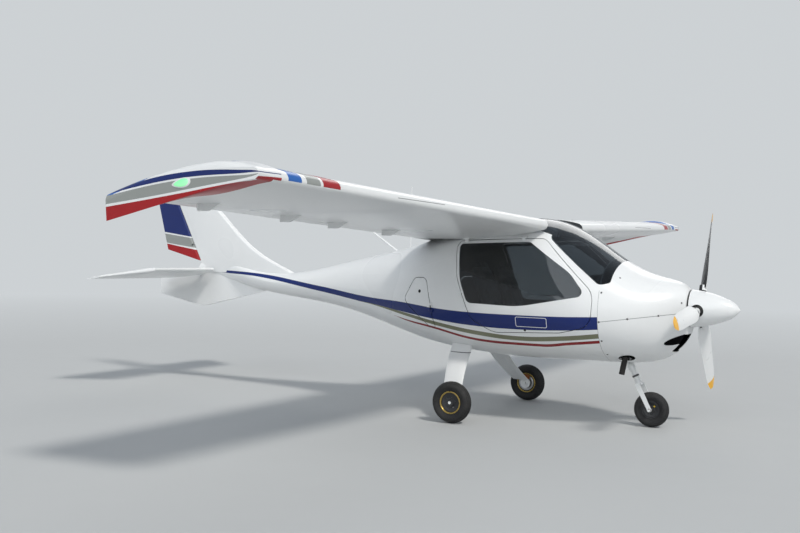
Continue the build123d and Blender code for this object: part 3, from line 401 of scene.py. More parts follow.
# inner border of those bands (station, side): underneath and on top, where the tip starts, and the upward
# part of a face's direction past which it counts as the lower or the upper side
tipBorder = {
    "under": [(1.40, 4.10), (1.553, 4.114), (1.645, 4.135), (1.765, 4.124), (1.945, 4.110), (2.15, 4.185),
              (2.40, 4.215), (2.80, 4.225)],
    "over": [(1.40, 4.045), (2.10, 4.06), (2.30, 4.13), (2.50, 4.175), (2.80, 4.19)],
    "reach": 5.0, "start": 4.02, "down": -0.55, "up": 0.45,
}
# bands that cross the wing further in, on a slant: tone and two sides; they end below the leading edge, and
# lower further aft
crossBands = {"slope": 0.30, "bands": [("blue", 3.87, 3.99), ("silver", 3.695, 3.825), ("red", 3.50, 3.67)],
              "below": 0.010, "fall": 0.085}
# leading edge of the wing at the root side, and its gain per metre outward
wingEdge = {"root": 0.6, "station": 1.478, "sweep": 0.0205, "height": 1.656, "rise": 0.0328}
# thin dark line across the leading edge: a line of (side, height above that edge), seen on its front only
wingDarkLine = {"width": 0.005, "line": [(2.24, 0.016), (2.86, 0.004)], "behind": 0.08}


def wingPaint():
    tree = Tree("gelcoatWing")
    station, side, height = tree.place()
    upward = tree.parts(tree.coord("Normal"))[2]
    color = paint["white"]
    outward = tree.sums("SUBTRACT", side, wingEdge["root"])
    edgeStation = tree.sums("MULTIPLY_ADD", outward, wingEdge["sweep"], wingEdge["station"])
    edgeHeight = tree.sums("MULTIPLY_ADD", outward, wingEdge["rise"], wingEdge["height"])
    behind = tree.sums("SUBTRACT", station, edgeStation)
    # the cross bands: upper side of the wing, or what faces up on the tip
    slid = tree.sums("SUBTRACT", side, tree.sums("MULTIPLY", behind, crossBands["slope"]))
    aft = tree.sums("MAXIMUM", behind, 0.0)
    fall = tree.sums("MULTIPLY_ADD", aft, crossBands["fall"], crossBands["below"])
    upper = tree.sums("GREATER_THAN", height, tree.sums("SUBTRACT", edgeHeight, fall))
    inner = tree.sums("MULTIPLY", upper, tree.sums("LESS_THAN", side, tipBorder["start"]))
    onTip = tree.sums("GREATER_THAN", side, tipBorder["start"])
    drooped = tree.sums("MULTIPLY", onTip, tree.sums("GREATER_THAN", upward, tipBorder["up"]))
    inner = tree.sums("MAXIMUM", inner, drooped)
    for tone, low, high in crossBands["bands"]:
        color = tree.mixed(tree.sums("MULTIPLY", tree.between(slid, low, high), inner), color, paint[tone])
    # the tip's bands: outboard of the upper border, and underneath also of the lower one
    over, under = (tree.edge(station, tipBorder[name], tipBands["span"], tipBorder["reach"])
                   for name in ("over", "under"))
    below = tree.sums("MULTIPLY", tree.sums("LESS_THAN", upward, tipBorder["down"]),
                      tree.sums("LESS_THAN", side, under))
    outer = tree.sums("MULTIPLY", tree.sums("GREATER_THAN", side, over), tree.sums("SUBTRACT", 1.0, below))
    for band in tipBands["bands"]:
        low = tree.edge(station, band["low"], tipBands["span"]) if band["low"] else 0.0
        top = tree.edge(station, band["top"], tipBands["span"])
        share = tree.sums("MULTIPLY", tree.between(height, low, top), outer)
        color = tree.mixed(share, color, paint[band["tone"]])
    # a thin dark line near the leading edge, in the grey of the cowling's seams
    above = tree.sums("SUBTRACT", height, edgeHeight)
    seam = tree.seam(side, above, wingDarkLine["line"], wingDarkLine["width"])
    onEdge = tree.sums("MULTIPLY", seam, tree.sums("LESS_THAN", behind, wingDarkLine["behind"]))
    return gelFinish(tree, tree.mixed(onEdge, color, paint["seam"]))


# slanted bands of the rudder: tone, heights of the edges at the hinge's station, and slope along the station
rudderBands = {"station": 5.69, "bands": [("red", 0.0, 1.402, 0.146), ("silver", 1.420, 1.516, 0.117),
                                          ("navy", 1.530, 3.0, 0.124)]}


def rudderPaint():
    tree = Tree("gelcoatRudder")
    station, side, height = tree.place()
    color = paint["white"]
    aft = tree.sums("SUBTRACT", station, rudderBands["station"])
    for tone, low, high, slope in rudderBands["bands"]:
        level = tree.sums("SUBTRACT", height, tree.sums("MULTIPLY", aft, slope))
        color = tree.mixed(tree.between(level, low, high), color, paint[tone])
    return gelFinish(tree, color)


# Blades: white front faces, black rear faces, yellow tips, and a bare hub; radii from the propeller's axis
bladeLook = {"tip": 0.765, "yellow": (0.90, 0.46, 0.008), "black": (0.018, 0.018, 0.02), "hub": 0.12,
             "bare": (0.25, 0.26, 0.27), "rough": (0.27, 0.32), "coat": 0.2}


def bladePaint():
    tree = Tree("bladePaint")
    radius = tree.vector("LENGTH", tree.arm(propAxis))
    rear = tree.sums("LESS_THAN", tree.parts(tree.coord("Normal"))[0], 0.0)
    color = tree.mixed(rear, paint["white"], bladeLook["black"])
    color = tree.mixed(tree.sums("GREATER_THAN", radius, bladeLook["tip"]), color, bladeLook["yellow"])
    color = tree.mixed(tree.sums("LESS_THAN", radius, bladeLook["hub"]), color, bladeLook["bare"])
    rough = tree.scaled(tree.noise(12.0), 0.3, 0.7, *bladeLook["rough"])
    return tree.finish(color, rough, Coat_Weight=bladeLook["coat"])


# one colour with a grain that darkens it, roughens it and, with relief, raises it
def simple(name, color, roughness, vary=0.06, scale=40.0, relief=0.0, dark=0.82, **others):
    tree = Tree(name)
    grain = tree.noise(scale, 4.0)
    shade = tree.mixed(tree.scaled(grain, 0.35, 0.65, 0.0, 1.0), tuple(c * dark for c in color), color)
    if relief:
        tree.bump(grain, relief)
    return tree.finish(shade, tree.scaled(grain, 0.3, 0.7, roughness - vary, roughness + vary), **others)


# woven cloth: the product of two sine waves a pitch long, one across and one along, with paler worn places
def clothLook(name, color, pitch, dark=0.55, worn=1.5):
    tree = Tree(name)
    x, y, z = tree.parts(tree.coord())
    turns = 2 * math.pi / pitch
    along = tree.sums("SINE", tree.sums("MULTIPLY", tree.sums("ADD", x, z), turns))
    across = tree.sums("SINE", tree.sums("MULTIPLY", y, turns))
    weave = tree.sums("MULTIPLY", along, across)
    shade = tree.mixed(tree.scaled(weave, -1.0, 1.0, 0.0, 1.0), tuple(c * dark for c in color), color)
    wear = tree.scaled(tree.noise(9.0, 4.0), 0.4, 0.8, 0.0, 0.35)
    shade = tree.mixed(wear, shade, tuple(min(1.0, c * worn) for c in color))
    tree.bump(weave, 0.5, 0.0008)
    return tree.finish(shade, 0.88, Sheen_Weight=0.35, Sheen_Roughness=0.5)


def glassLook(name, color, roughness=0.015, haze=0.03):
    tree = Tree(name)
    rough = tree.scaled(tree.noise(5.0, 5.0), 0.35, 0.75, roughness, roughness + haze)
    return tree.finish(color, rough, Transmission_Weight=1.0, IOR=1.49)


# lit lens of a position light: brightest where it faces the viewer
def litLook(name, rim, core):
    tree = Tree(name)
    weight = tree.nodes.new("ShaderNodeLayerWeight")
    weight.inputs["Blend"].default_value = 0.35
    glow = tree.mixed(weight.outputs["Facing"], core, rim)
    rough = tree.scaled(tree.noise(60.0, 2.0), 0.3, 0.7, 0.10, 0.16)
    return tree.finish(rim, rough, Emission_Color=glow, Emission_Strength=0.75, Coat_Weight=0.5)


# Tyre rubber: black with dusty places
rubberLook = {"black": (0.013, 0.013, 0.014), "dusty": (0.060, 0.056, 0.048)}


def tyreLook():
    tree = Tree("tyreRubber")
    grain = tree.noise(90.0, 6.0)
    dust = tree.scaled(tree.noise(7.0, 5.0), 0.45, 0.8, 0.0, 0.5)
    tree.bump(grain, 0.35, 0.0012)
    return tree.finish(tree.mixed(dust, rubberLook["black"], rubberLook["dusty"]),
                       tree.scaled(grain, 0.3, 0.7, 0.62, 0.85))


# one-colour finishes: the material's name, colour, roughness and the rest
plainFinishes = {
    "rimDark": ("rimPaint", (0.030, 0.031, 0.034), 0.42, {"scale": 90.0, "relief": 0.08}),
    "rimGold": ("rimAnodised", (0.56, 0.40, 0.12), 0.30, {"Metallic": 0.85, "scale": 120.0, "relief": 0.05}),
    "caliper": ("caliperPaint", (0.36, 0.12, 0.03), 0.40, {"scale": 80.0, "relief": 0.1}),
    "yellow": ("yellowMark", (0.75, 0.52, 0.03), 0.45, {"scale": 80.0}),
    "steel": ("bareSteel", (0.55, 0.55, 0.56), 0.32, {"Metallic": 1.0, "scale": 150.0, "relief": 0.04}),
    "darkSteel": ("darkSteel", (0.10, 0.10, 0.105), 0.42, {"Metallic": 0.85, "scale": 110.0, "relief": 0.06}),
    "engine": ("castEngine", (0.16, 0.165, 0.17), 0.55, {"Metallic": 0.6, "scale": 70.0, "relief": 0.3}),
    "exhaust": ("sootySteel", (0.028, 0.026, 0.025), 0.72, {"Metallic": 0.4, "scale": 55.0, "relief": 0.25}),
    "rubber": ("blackSeal", (0.014, 0.014, 0.015), 0.68, {"scale": 90.0, "relief": 0.15}),
    "trim": ("cabinTrim", (0.050, 0.053, 0.058), 0.66, {"scale": 220.0, "relief": 0.35}),
    "panel": ("panelFace", (0.035, 0.036, 0.040), 0.52, {"scale": 260.0, "relief": 0.25}),
    "dial": ("dialFace", (0.010, 0.010, 0.011), 0.25, {"scale": 80.0}),
    "mark": ("dialMark", (0.75, 0.76, 0.74), 0.5, {"scale": 80.0}),
    "shadow": ("gapShadow", (0.004, 0.004, 0.0045), 0.95,
               {"vary": 0.03, "scale": 60.0, "Specular_IOR_Level": 0.05}),
}
looks = {}


def makeLooks():
    looks["body"] = bodyPaint()
    looks["cowl"] = cowlPaint()
    looks["wing"] = wingPaint()
    looks["rudder"] = rudderPaint()
    looks["white"] = gelFinish(Tree("gelcoatPlain"), paint["white"])
    looks["legWhite"] = gelFinish(Tree("legPaint"), paint["legWhite"])
    looks["blade"] = bladePaint()
    looks["glass"] = glassLook("tintedScreen", (0.24, 0.27, 0.29))
    looks["litGreen"] = litLook("litGreen", (0.02, 0.50, 0.16), (0.55, 0.98, 0.60))
    looks["litRed"] = litLook("litRed", (0.55, 0.02, 0.015), (1.0, 0.50, 0.40))
    looks["tyre"] = tyreLook()
    looks["carpet"] = clothLook("cabinCarpet", (0.045, 0.048, 0.055), 0.006)
    looks["cloth"] = clothLook("seatCloth", (0.070, 0.078, 0.095), 0.004)
    looks["webbing"] = clothLook("harnessWeb", (0.050, 0.052, 0.058), 0.0025)
    for look, (name, color, roughness, others) in plainFinishes.items():
        looks[look] = simple(name, color, roughness, **others)


nodeLooks = {
    "body": ["fuselage_half_left", "fuselage_half_right", "door_left", "door_right", "baggage_hatch_left",
             "baggage_hatch_right"],
    "cowl": ["cowl_upper", "cowl_lower"],
    "wing": ["wing_left", "wing_right", "aileron_left", "aileron_right", "flap_left", "flap_right"],
    "rudder": ["rudder"],
    "white": ["vertical_fin", "ventral_fin", "tailplane", "servo_tabs", "spinner", "aerials"],
    "blade": ["propeller_blades"],
    "glass": ["windshield", "door_window_left", "door_window_right"],
    "tyre": ["main_tyre_left", "main_tyre_right", "nose_tyre"],
    "rimDark": ["main_rim_left", "main_rim_right", "nose_rim"],
    "legWhite": ["main_leg_left", "main_leg_right", "nose_strut", "nose_fork"],
    "engine": ["engine_block"], "exhaust": ["exhaust_pipe"], "steel": ["firewall"],
    "trim": ["rear_bulkhead", "centre_console"], "panel": ["instrument_panel"], "carpet": ["cabin_floor"],
    "cloth": ["seat_left", "seat_right"], "litGreen": ["tip_lamp_right"], "litRed": ["tip_lamp_left"],
}


def dressNodes():
    for look, names in nodeLooks.items():
        for name in names:
            data = nodes[name].data
            data.materials.clear()
            data.materials.append(looks[look])


# Mesh building: a shape is (points, quads)

# object of one shape that rides on a body
def addPiece(name, shape, look, body, smooth=True):
    points, quads = shape
    mesh = bpy.data.meshes.new(name)
    mesh.from_pydata(np.asarray(points, float).reshape(-1, 3).tolist(), [], quads)
    mesh.validate()
    mesh.polygons.foreach_set("use_smooth", [smooth] * len(mesh.polygons))
    mesh.materials.append(looks[look])
    piece = bpy.data.objects.new(name, mesh)
    bpy.context.scene.collection.objects.link(piece)
    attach(piece, body)
    return piece


# quads of a grid of points, row after row; a closed grid joins each row's end to its start
def gridQuads(rows, columns, closed=False, first=0, flip=False):
    i, j = np.meshgrid(np.arange(rows - 1), np.arange(columns if closed else columns - 1), indexing="ij")
    after = (j + 1) % columns
    corners = (i * columns + j, i * columns + after, (i + 1) * columns + after, (i + 1) * columns + j)
    quads = np.stack(corners, axis=-1).reshape(-1, 4) + first
    return (quads[:, ::-1] if flip else quads).tolist()


# quads of two like grids, one after the other, with a wall between their borders
def shellQuads(rows, columns, flip=False):
    size = rows * columns
    rim = list(range(columns)) + [i * columns + columns - 1 for i in range(1, rows)]
    rim += [size - 1 - j for j in range(1, columns)] + [i * columns for i in range(rows - 2, 0, -1)]
    walls = [[b, a, a + size, b + size] for a, b in zip(rim, rim[1:] + rim[:1])]
    quads = gridQuads(rows, columns) + gridQuads(rows, columns, first=size, flip=True) + walls
    return [quad[::-1] for quad in quads] if flip else quads


def circle(segments):
    turn = (2 * math.pi * np.arange(segments) / segments)[None, :, None]
    return np.cos(turn), np.sin(turn)


# turned shape: a profile point (radius, along) goes round the axis, at
# centre + axis * along + (side * cosine + other * sine) * radius
def turned(profile, centre, axis, segments=40):
    axis = Vector(axis).normalized()
    side = axis.orthogonal().normalized()
    other = axis.cross(side)
    radius, along = np.asarray(profile, float).T[:, :, None, None]
    cosine, sine = circle(segments)
    ring = cosine * np.array(side) + sine * np.array(other)
    points = np.array(centre) + np.array(axis) * along + ring * radius
    return points.reshape(-1, 3), gridQuads(len(profile), segments, closed=True, flip=True)


# several shapes in one
def gather(shapes):
    points, quads, first = [], [], 0
    for some, faces in shapes:
        points.append(np.asarray(some, float).reshape(-1, 3))
        quads += [[first + i for i in face] for face in faces]
        first += len(points[-1])
    return np.concatenate(points), quads


# tube along points, round or flat, with closed ends: a ring square to the path stands at each point, at
# point + (side * cosine + up * sine * flat) * radius
def tube(path, radius, segments=12, flat=1.0, upward=(0, 0, 1)):
    path = [Vector(p) for p in path]
    last = len(path) - 1
    frames = []
    for i in range(len(path)):
        ahead = (path[min(i + 1, last)] - path[max(i - 1, 0)]).normalized()
        side = ahead.cross(Vector(upward))
        side = side.normalized() if side.length > 1e-6 else ahead.orthogonal().normalized()
        frames.append((side, side.cross(ahead)))
    side, up = np.array(frames).transpose(1, 0, 2)[:, :, None, :]
    cosine, sine = circle(segments)
    radii = np.broadcast_to(radius, len(path))[:, None, None]
    points = np.array(path)[:, None, :] + (side * cosine + up * sine * flat) * radii
    ends = [list(range(segments))[::-1], list(range(last * segments, (last + 1) * segments))]
    return points.reshape(-1, 3), gridQuads(len(path), segments, closed=True) + ends


skins = {}


# one or more CAD nodes as something to cast lines at
def skinOf(*names):
    if names not in skins:
        points, faces = [], []
        for name in names:
            mesh = nodes[name].data
            first = len(points)
            points += [v.co.copy() for v in mesh.vertices]
            faces += [[first + i for i in p.vertices] for p in mesh.polygons]
        skins[names] = BVHTree.FromPolygons(points, faces)
    return skins[names]


# point and outward direction where a line across the aircraft, from far out on a side, meets a CAD node
def onSkin(names, station, height, side, start=2.0):
    hit, normal, _, _ = skinOf(*names).ray_cast(at(station, side * start, height), Vector((0, -side, 0)))
    if hit is None:
        return None, None
    return hit, -normal if normal.y * side < 0 else normal


# Cowling screws: a domed head in a shallow cup, and a bar across it; the head is (radius, rise) in shares
fastener = {
    "radius": 0.0075, "rise": 0.0016, "bar": 0.0008, "barReach": 0.7,
    "head": [(0.0, 1.0), (0.55, 0.9), (0.86, 0.35), (1.0, -0.3125), (1.25, 0.125), (1.3, -0.625)],
    "places": [(0.972, 1.115), (0.978, 0.882), (0.972, 0.727), (0.966, 0.610), (0.772, 0.912), (0.562, 0.943),
               (0.870, 1.235), (0.420, 1.045)],
}


def makeFasteners():
    r, rise = fastener["radius"], fastener["rise"]
    head = np.array(fastener["head"]) * (r, rise)
    for side, word in bothSides:
        shapes = []
        for station, height in fastener["places"]:
            hit, normal = onSkin(("cowl_upper", "cowl_lower"), station, height, side)
            if hit is None:
                continue
            shapes.append(turned(head, hit, normal, 20))
            across = normal.orthogonal().normalized() * r * fastener["barReach"]
            top = hit + normal * rise
            shapes.append(tube([top - across, top + across], fastener["bar"], 6))
        addPiece("cowl_screws_" + word, gather(shapes), "darkSteel", "airframe")


# Propeller: dark back plate behind the spinner, and rubber seals round the blade roots
blades = {
    "angles": (66.0, 186.0, 306.0), "station": 0.312, "root": 0.128, "plate": 0.384,
    "plateProfile": [(0.0, 0.004), (0.146, 0.004), (0.150, 0.002), (0.151, -0.002), (0.146, -0.005),
                     (0.0, -0.005)],
    "seal": [(0.030, -0.014), (0.044, -0.010), (0.049, 0.0), (0.046, 0.010), (0.038, 0.017), (0.032, 0.022),
             (0.030, 0.030)],
}


def makePropellerTrim():
    plate = turned(blades["plateProfile"], at(blades["plate"], 0, propAxis), (-1, 0, 0), 72)
    addPiece("spinner_back_plate", plate, "rubber", "propeller")
    seals = []
    for angle in blades["angles"]:
        out = Vector((0, math.cos(math.radians(angle)), math.sin(math.radians(angle))))
        root = at(blades["station"], 0, propAxis) + out * blades["root"]
        seals.append(turned(blades["seal"], root, out, 36))
    addPiece("blade_root_seals", gather(seals), "rubber", "propeller")


# Wheels: treaded tyres, and on both sides of a rim its bolts, lip and dark dish
mainWheel = {"station": 2.127, "dia": 0.346, "width": 0.112, "rim": 0.190}
noseWheel = {"station": 0.691, "dia": 0.292, "width": 0.098, "rim": 0.150}
wheels = [
    {"name": "main_left", "tyre": "main_tyre_left", "body": "main_wheel_left", "side": 0.825, "out": 1,
     **mainWheel},
    {"name": "main_right", "tyre": "main_tyre_right", "body": "main_wheel_right", "side": -0.825, "out": -1,
     **mainWheel},
    {"name": "nose", "tyre": "nose_tyre", "body": "nose_wheel", "side": 0.0, "out": 0, **noseWheel},
]
# across the tread, in halves of the tyre's width: middles of the grooves, their floor and top, and the
# shoulders; the crown falls by a share of that half width towards the outer shoulder
tread = {"grooves": (-0.396, -0.135, 0.135, 0.396), "floor": 0.040, "top": 0.052, "depth": 0.0035,
         "shoulders": (0.6, 0.72), "fall": 0.279, "inside": 0.0004}
# side wall: (share of the way from rim to tread, share of the half width)
sideWall = [(0.32, 0.93), (0.55, 0.985), (0.74, 0.90)]
bead = {"seat": 0.62, "steps": ((-0.002, 1.0), (0.006, 1.12), (0.012, 1.16))}
# radii of lip and dish are shares of the rim's; the dish leaves the axle's bore open
rimTrim = {
    "face": 0.31, "bolts": 6, "firstBolt": 15, "boltRing": 0.46, "boltSink": 0.008, "dishSink": 0.006,
    "bore": 0.026,
    "bolt": [(0.0, 0.005), (0.0042, 0.005), (0.0048, 0.0035), (0.0048, -0.002)],
    "lip": [(0.86, -0.004), (0.875, 0.002), (0.93, 0.0045), (0.985, 0.003), (1.0, -0.004)],
    "dish": [(0.0, 0.0), (0.30, 0.0), (0.33, -0.002), (0.60, -0.003), (0.63, -0.001), (0.80, -0.001),
             (0.86, 0.001), (0.87, -0.004)],
}


def hubOf(wheel):
    return at(wheel["station"], wheel["side"], wheel["dia"] / 2)


# tyre section, a loop of (radius, across): bead and side wall, the grooved crown, and the same side mirrored
def tyreProfile(wheel):
    r, w, rim = wheel["dia"] / 2, wheel["width"] / 2, wheel["rim"] / 2
    wall = [(rim + up, -w * bead["seat"] * share) for up, share in bead["steps"]]
    wall += [(rim + (r - rim) * up, -w * share) for up, share in sideWall]
    inner, outer = tread["shoulders"]
    marks = [-outer, -inner, inner, outer]
    marks += [groove + sign * off for groove in tread["grooves"] for off in (tread["floor"], tread["top"])
              for sign in (-1, 1)]
    crown = []
    for mark in sorted(marks):
        cut = any(abs(mark - groove) < (tread["floor"] + tread["top"]) / 2 for groove in tread["grooves"])
        fall = tread["fall"] * w * (mark / outer) ** 2 + tread["inside"]
        crown.append((r - fall - (tread["depth"] if cut else 0.0), mark * w))
    return wall + crown + [(radius, -across) for radius, across in wall[::-1]] + [wall[0]]


def makeWheels():
    for wheel in wheels:
        centre, rim = hubOf(wheel), wheel["rim"] / 2
        face = wheel["width"] * rimTrim["face"]
        tyre = addPiece("treaded_" + wheel["tyre"], turned(tyreProfile(wheel), centre, (0, 1, 0), 72), "tyre",
                        wheel["body"])
        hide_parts(wheel["tyre"])
        bolts, lips, dishes = [], [], []
        for out in (Vector((0, -1, 0)), Vector((0, 1, 0))):
            for k in range(rimTrim["bolts"]):
                turn = math.radians(360 / rimTrim["bolts"] * k + rimTrim["firstBolt"])
                spot = centre + Vector((math.cos(turn), 0, math.sin(turn))) * rim * rimTrim["boltRing"]
                bolts.append(turned(rimTrim["bolt"], spot + out * (face - rimTrim["boltSink"]), out, 6))
            lip = [(rim * share, along) for share, along in rimTrim["lip"]]
            lips.append(turned(lip, centre + out * face, out, 72))
            dish = [(max(rim * share, rimTrim["bore"]), along) for share, along in rimTrim["dish"]]
            dishes.append(turned(dish, centre + out * (face - rimTrim["dishSink"]), out, 72))
        addPiece("rim_bolts_" + wheel["name"], gather(bolts), "darkSteel", wheel["body"], smooth=False)
        lipLook = "rimGold" if wheel["out"] else "rimDark"
        addPiece("rim_lips_" + wheel["name"], gather(lips), lipLook, wheel["body"])
        addPiece("rim_wells_" + wheel["name"], gather(dishes), "rimDark", wheel["body"])


# Axle ends: a cap with a domed nut on each main axle, in shares of (radius, reach), and a valve in the rim;
# a yellow mark on each side of the nose wheel
axleCaps = {
    "side": 0.856, "radius": 0.023, "reach": 0.014,
    "cap": [(0.0, 1.0), (0.35, 1.0), (0.42, 0.80), (0.50, 0.72), (0.55, 0.36), (0.95, 0.28), (1.0, 0.0)],
    "valve": [(0.0, 0.016), (0.0035, 0.016), (0.0040, 0.014), (0.0040, 0.004), (0.0055, 0.003),
              (0.0055, 0.0)],
    "valvePlace": (0.030, -0.036), "valveSink": 0.010,
    "mark": [(0.0, 0.003), (0.006, 0.0025), (0.0075, 0.0)], "markPlace": (0.030, 0.030), "markSink": 0.0035,
}


def makeAxleEnds():
    cap = np.array(axleCaps["cap"]) * (axleCaps["radius"], axleCaps["reach"])
    for wheel in wheels:
        centre, face = hubOf(wheel), wheel["width"] * rimTrim["face"]
        if wheel["out"]:
            out = Vector((0, wheel["out"], 0))
            end = Vector((centre.x, wheel["out"] * axleCaps["side"], centre.z))
            addPiece("axle_cap_" + wheel["name"], turned(cap, end, out, 36), "darkSteel", "airframe")
            x, z = axleCaps["valvePlace"]
            foot = centre + Vector((x, 0, z)) + out * (face - axleCaps["valveSink"])
            valve = turned(axleCaps["valve"], foot, out, 14)
            addPiece("tyre_valve_" + wheel["name"], valve, "steel", wheel["body"])
        else:
            x, z = axleCaps["markPlace"]
            y = face - axleCaps["markSink"]
            marks = [turned(axleCaps["mark"], centre + Vector((x, out * y, z)), (0, out, 0), 20)
                     for out in (-1, 1)]
            addPiece("nose_rim_marks", gather(marks), "yellow", wheel["body"])


# flat plate from an outline of (station, height) points, between two sides: the outer rings are drawn in
# towards the middle by the bevel
def slab(outline, low, high, bevel=0.0015):
    outline = np.array(outline, float)
    count = len(outline)
    middle = outline.mean(axis=0)
    arms = outline - middle
    pulled = arms * (1 - bevel / np.linalg.norm(arms, axis=1, keepdims=True))
    rings = []
    for side, arm in ((low, pulled), (low + bevel, arms), (high - bevel, arms), (high, pulled)):
        station, height = (middle + arm).T
        rings.append(spread(station, side, height))
    ends = [list(range(count))[::-1], list(range(3 * count, 4 * count))]
    return np.concatenate(rings), gridQuads(4, count, closed=True) + ends


# outline of a bar with round ends: half a circle about each of two (station, height) points
def barOutline(start, end, halfStart, halfEnd, steps=9):
    heading = math.atan2(end[1] - start[1], end[0] - start[0])
    turn = heading - math.pi / 2 + np.linspace(0, math.pi, steps)
    arc = np.stack([np.cos(turn), np.sin(turn)], axis=-1)
    return np.concatenate([np.array(end) + arc * halfEnd, np.array(start) - arc * halfStart])


# Nose gear: two flat arms under a crown, the axle with its nuts and tow pins, and a clamp ring on the strut.
# Reaches run down the leg from its top to the axle.
noseGear = {
    "top": (0.905, 0.560), "axle": (0.691, 0.146), "arm": 0.064, "half": 0.0055, "crown": 0.205,
    "armTop": 0.243, "armEnds": (0.020, 0.0165), "axleRadius": 0.0122, "ring": 0.155,
    "bar": {"reach": 0.239, "radius": 0.020, "flat": 0.62, "inside": 0.001},
    "nutProfile": [(0.0, 0.010), (0.009, 0.010), (0.010, 0.008), (0.010, 0.0), (0.014, 0.0), (0.014, -0.003)],
    "pinProfile": [(0.0, 0.030), (0.0085, 0.030), (0.010, 0.0285), (0.010, 0.014), (0.009, 0.013),
                   (0.009, 0.0)],
    "boltProfile": [(0.0, 0.006), (0.006, 0.006), (0.007, 0.0045), (0.007, -0.001)],
    "crownProfile": [(0.0, 0.0), (0.0255, 0.0), (0.027, 0.002), (0.027, 0.034), (0.024, 0.046), (0.0, 0.047)],
    "ringProfile": [(0.0225, 0.0), (0.0275, 0.001), (0.029, 0.003), (0.029, 0.013), (0.0275, 0.015),
                    (0.0225, 0.016)],
}


def makeNoseGear():
    top, axle = np.array(noseGear["top"]), np.array(noseGear["axle"])
    heading = (axle - top) / np.linalg.norm(axle - top)
    downLeg = Vector((-heading[0], 0, heading[1]))
    outside = noseGear["arm"] + noseGear["half"]
    bar = noseGear["bar"]

    # place on the leg at a reach, and at a side
    def down(reach, side=0.0):
        station, height = top + heading * reach
        return at(station, side, height)

    shapes = []
    outline = barOutline(top + heading * noseGear["armTop"], axle, *noseGear["armEnds"])
    for side in (-1, 1):
        out = (0, side, 0)
        low, high = sorted((side * outside, side * (outside - 2 * noseGear["half"])))
        shapes.append(slab(outline, low, high))
        hub = at(axle[0], side * outside, axle[1])
        shapes.append(turned(noseGear["nutProfile"], hub, out, 24))
        shapes.append(turned(noseGear["pinProfile"], hub, out, 28))
        shapes.append(turned(noseGear["boltProfile"], down(noseGear["armTop"], side * outside), out, 20))
    ends = [at(axle[0], side, axle[1]) for side in (-outside, outside)]
    shapes.append(tube(ends, noseGear["axleRadius"], 24))
    inside = outside - bar["inside"]
    ends = [down(bar["reach"], side) for side in (-inside, inside)]
    shapes.append(tube(ends, bar["radius"], 24, bar["flat"], downLeg))
    shapes.append(turned(noseGear["crownProfile"], down(noseGear["crown"]), downLeg, 40))
    fork = addPiece("nose_fork_plates", gather(shapes), "legWhite", "nose_leg", smooth=False)
    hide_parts("nose_fork")
    ring = turned(noseGear["ringProfile"], down(noseGear["ring"]), downLeg, 48)
    addPiece("strut_ring", ring, "darkSteel", "nose_leg")


# Main gear: cuff seams under the belly, brake discs on the wheels and calipers on the legs. The caliper's
# outline is (reach from the axle, swing about its own angle); the cuff has a section at its top and bottom.
brakes = {
    "offset": 0.0345, "half": 0.002, "inner": 0.034, "outer": 0.074,
    "caliper": (0.0405, 0.062), "angle": 102.0, "bevel": 0.003,
    "outline": [(0.040, -0.45), (0.060, -0.46), (0.078, -0.40), (0.084, -0.2), (0.086, 0.0), (0.084, 0.2),
                (0.078, 0.40), (0.060, 0.46), (0.040, 0.45)],
}
cuff = {
    "top": {"place": (2.1800, -0.3720, 0.5480), "chord": 0.1940, "thick": 0.0560},
    "low": {"place": (2.1793, -0.3765, 0.5430), "chord": 0.1937, "thick": 0.0557},
    "rings": ((0.0, 0.0), (0.04, 0.0030), (0.96, 0.0030), (1.0, 0.0)), "steps": 20, "thickest": 0.3,
}


# section of the leg: half a thickness up to the thickest point is a quarter ellipse, and falls behind it as
# one minus the power 1.75 of the way to the rear edge
def legSection(place, chord, thick, side, grow):
    station, inboard, height = place
    steps, thickest = cuff["steps"], cuff["thickest"]
    k = np.arange(2 * steps)
    share = np.where(k < steps, k / steps, 2 - k / steps) ** 1.5
    blunt = np.sqrt(np.maximum(0.0, 1 - ((thickest - share) / thickest) ** 2))
    drawn = 1 - (np.maximum(share - thickest, 0.0) / (1 - thickest)) ** 1.75
    half = thick / 2 * np.where(share < thickest, blunt, drawn) + grow
    across = np.where(k < steps, half, -half)
    return spread(station - grow + share * (chord + 2 * grow), side * (across - inboard), height)


def blend(share, low, high):
    return np.array(low) + (np.array(high) - np.array(low)) * share


def makeMainGear():
    half = brakes["half"]
    disc = [(brakes["inner"], -half), (brakes["inner"], half), (brakes["outer"] - 0.001, half),
            (brakes["outer"], half - 0.0005), (brakes["outer"], -half), (brakes["inner"], -half)]
    for wheel in wheels[:2]:
        out, centre = wheel["out"], hubOf(wheel)
        rings = []
        for share, grow in cuff["rings"]:
            section = [blend(share, cuff["top"][key], cuff["low"][key]) for key in ("place", "chord", "thick")]
            rings.append(legSection(*section, out, grow))
        quads = gridQuads(len(rings), 2 * cuff["steps"], closed=True, flip=out > 0)
        addPiece("leg_cuff_" + wheel["name"], (np.concatenate(rings), quads), "rubber", "airframe")
        inward = Vector((0, -out, 0))
        turnedDisc = turned(disc, centre + inward * brakes["offset"], inward, 64)
        addPiece("brake_disc_" + wheel["name"], turnedDisc, "steel", wheel["body"])
        low, high = sorted(centre.y - out * reach for reach in brakes["caliper"])
        reach, swing = np.array(brakes["outline"]).T
        turn = math.radians(brakes["angle"]) + swing
        around = (wheel["station"] + reach * np.cos(turn), wheel["dia"] / 2 + reach * np.sin(turn))
        caliper = slab(np.stack(around, axis=-1), low, high, brakes["bevel"])
        addPiece("caliper_" + wheel["name"], caliper, "caliper", "airframe", smooth=False)


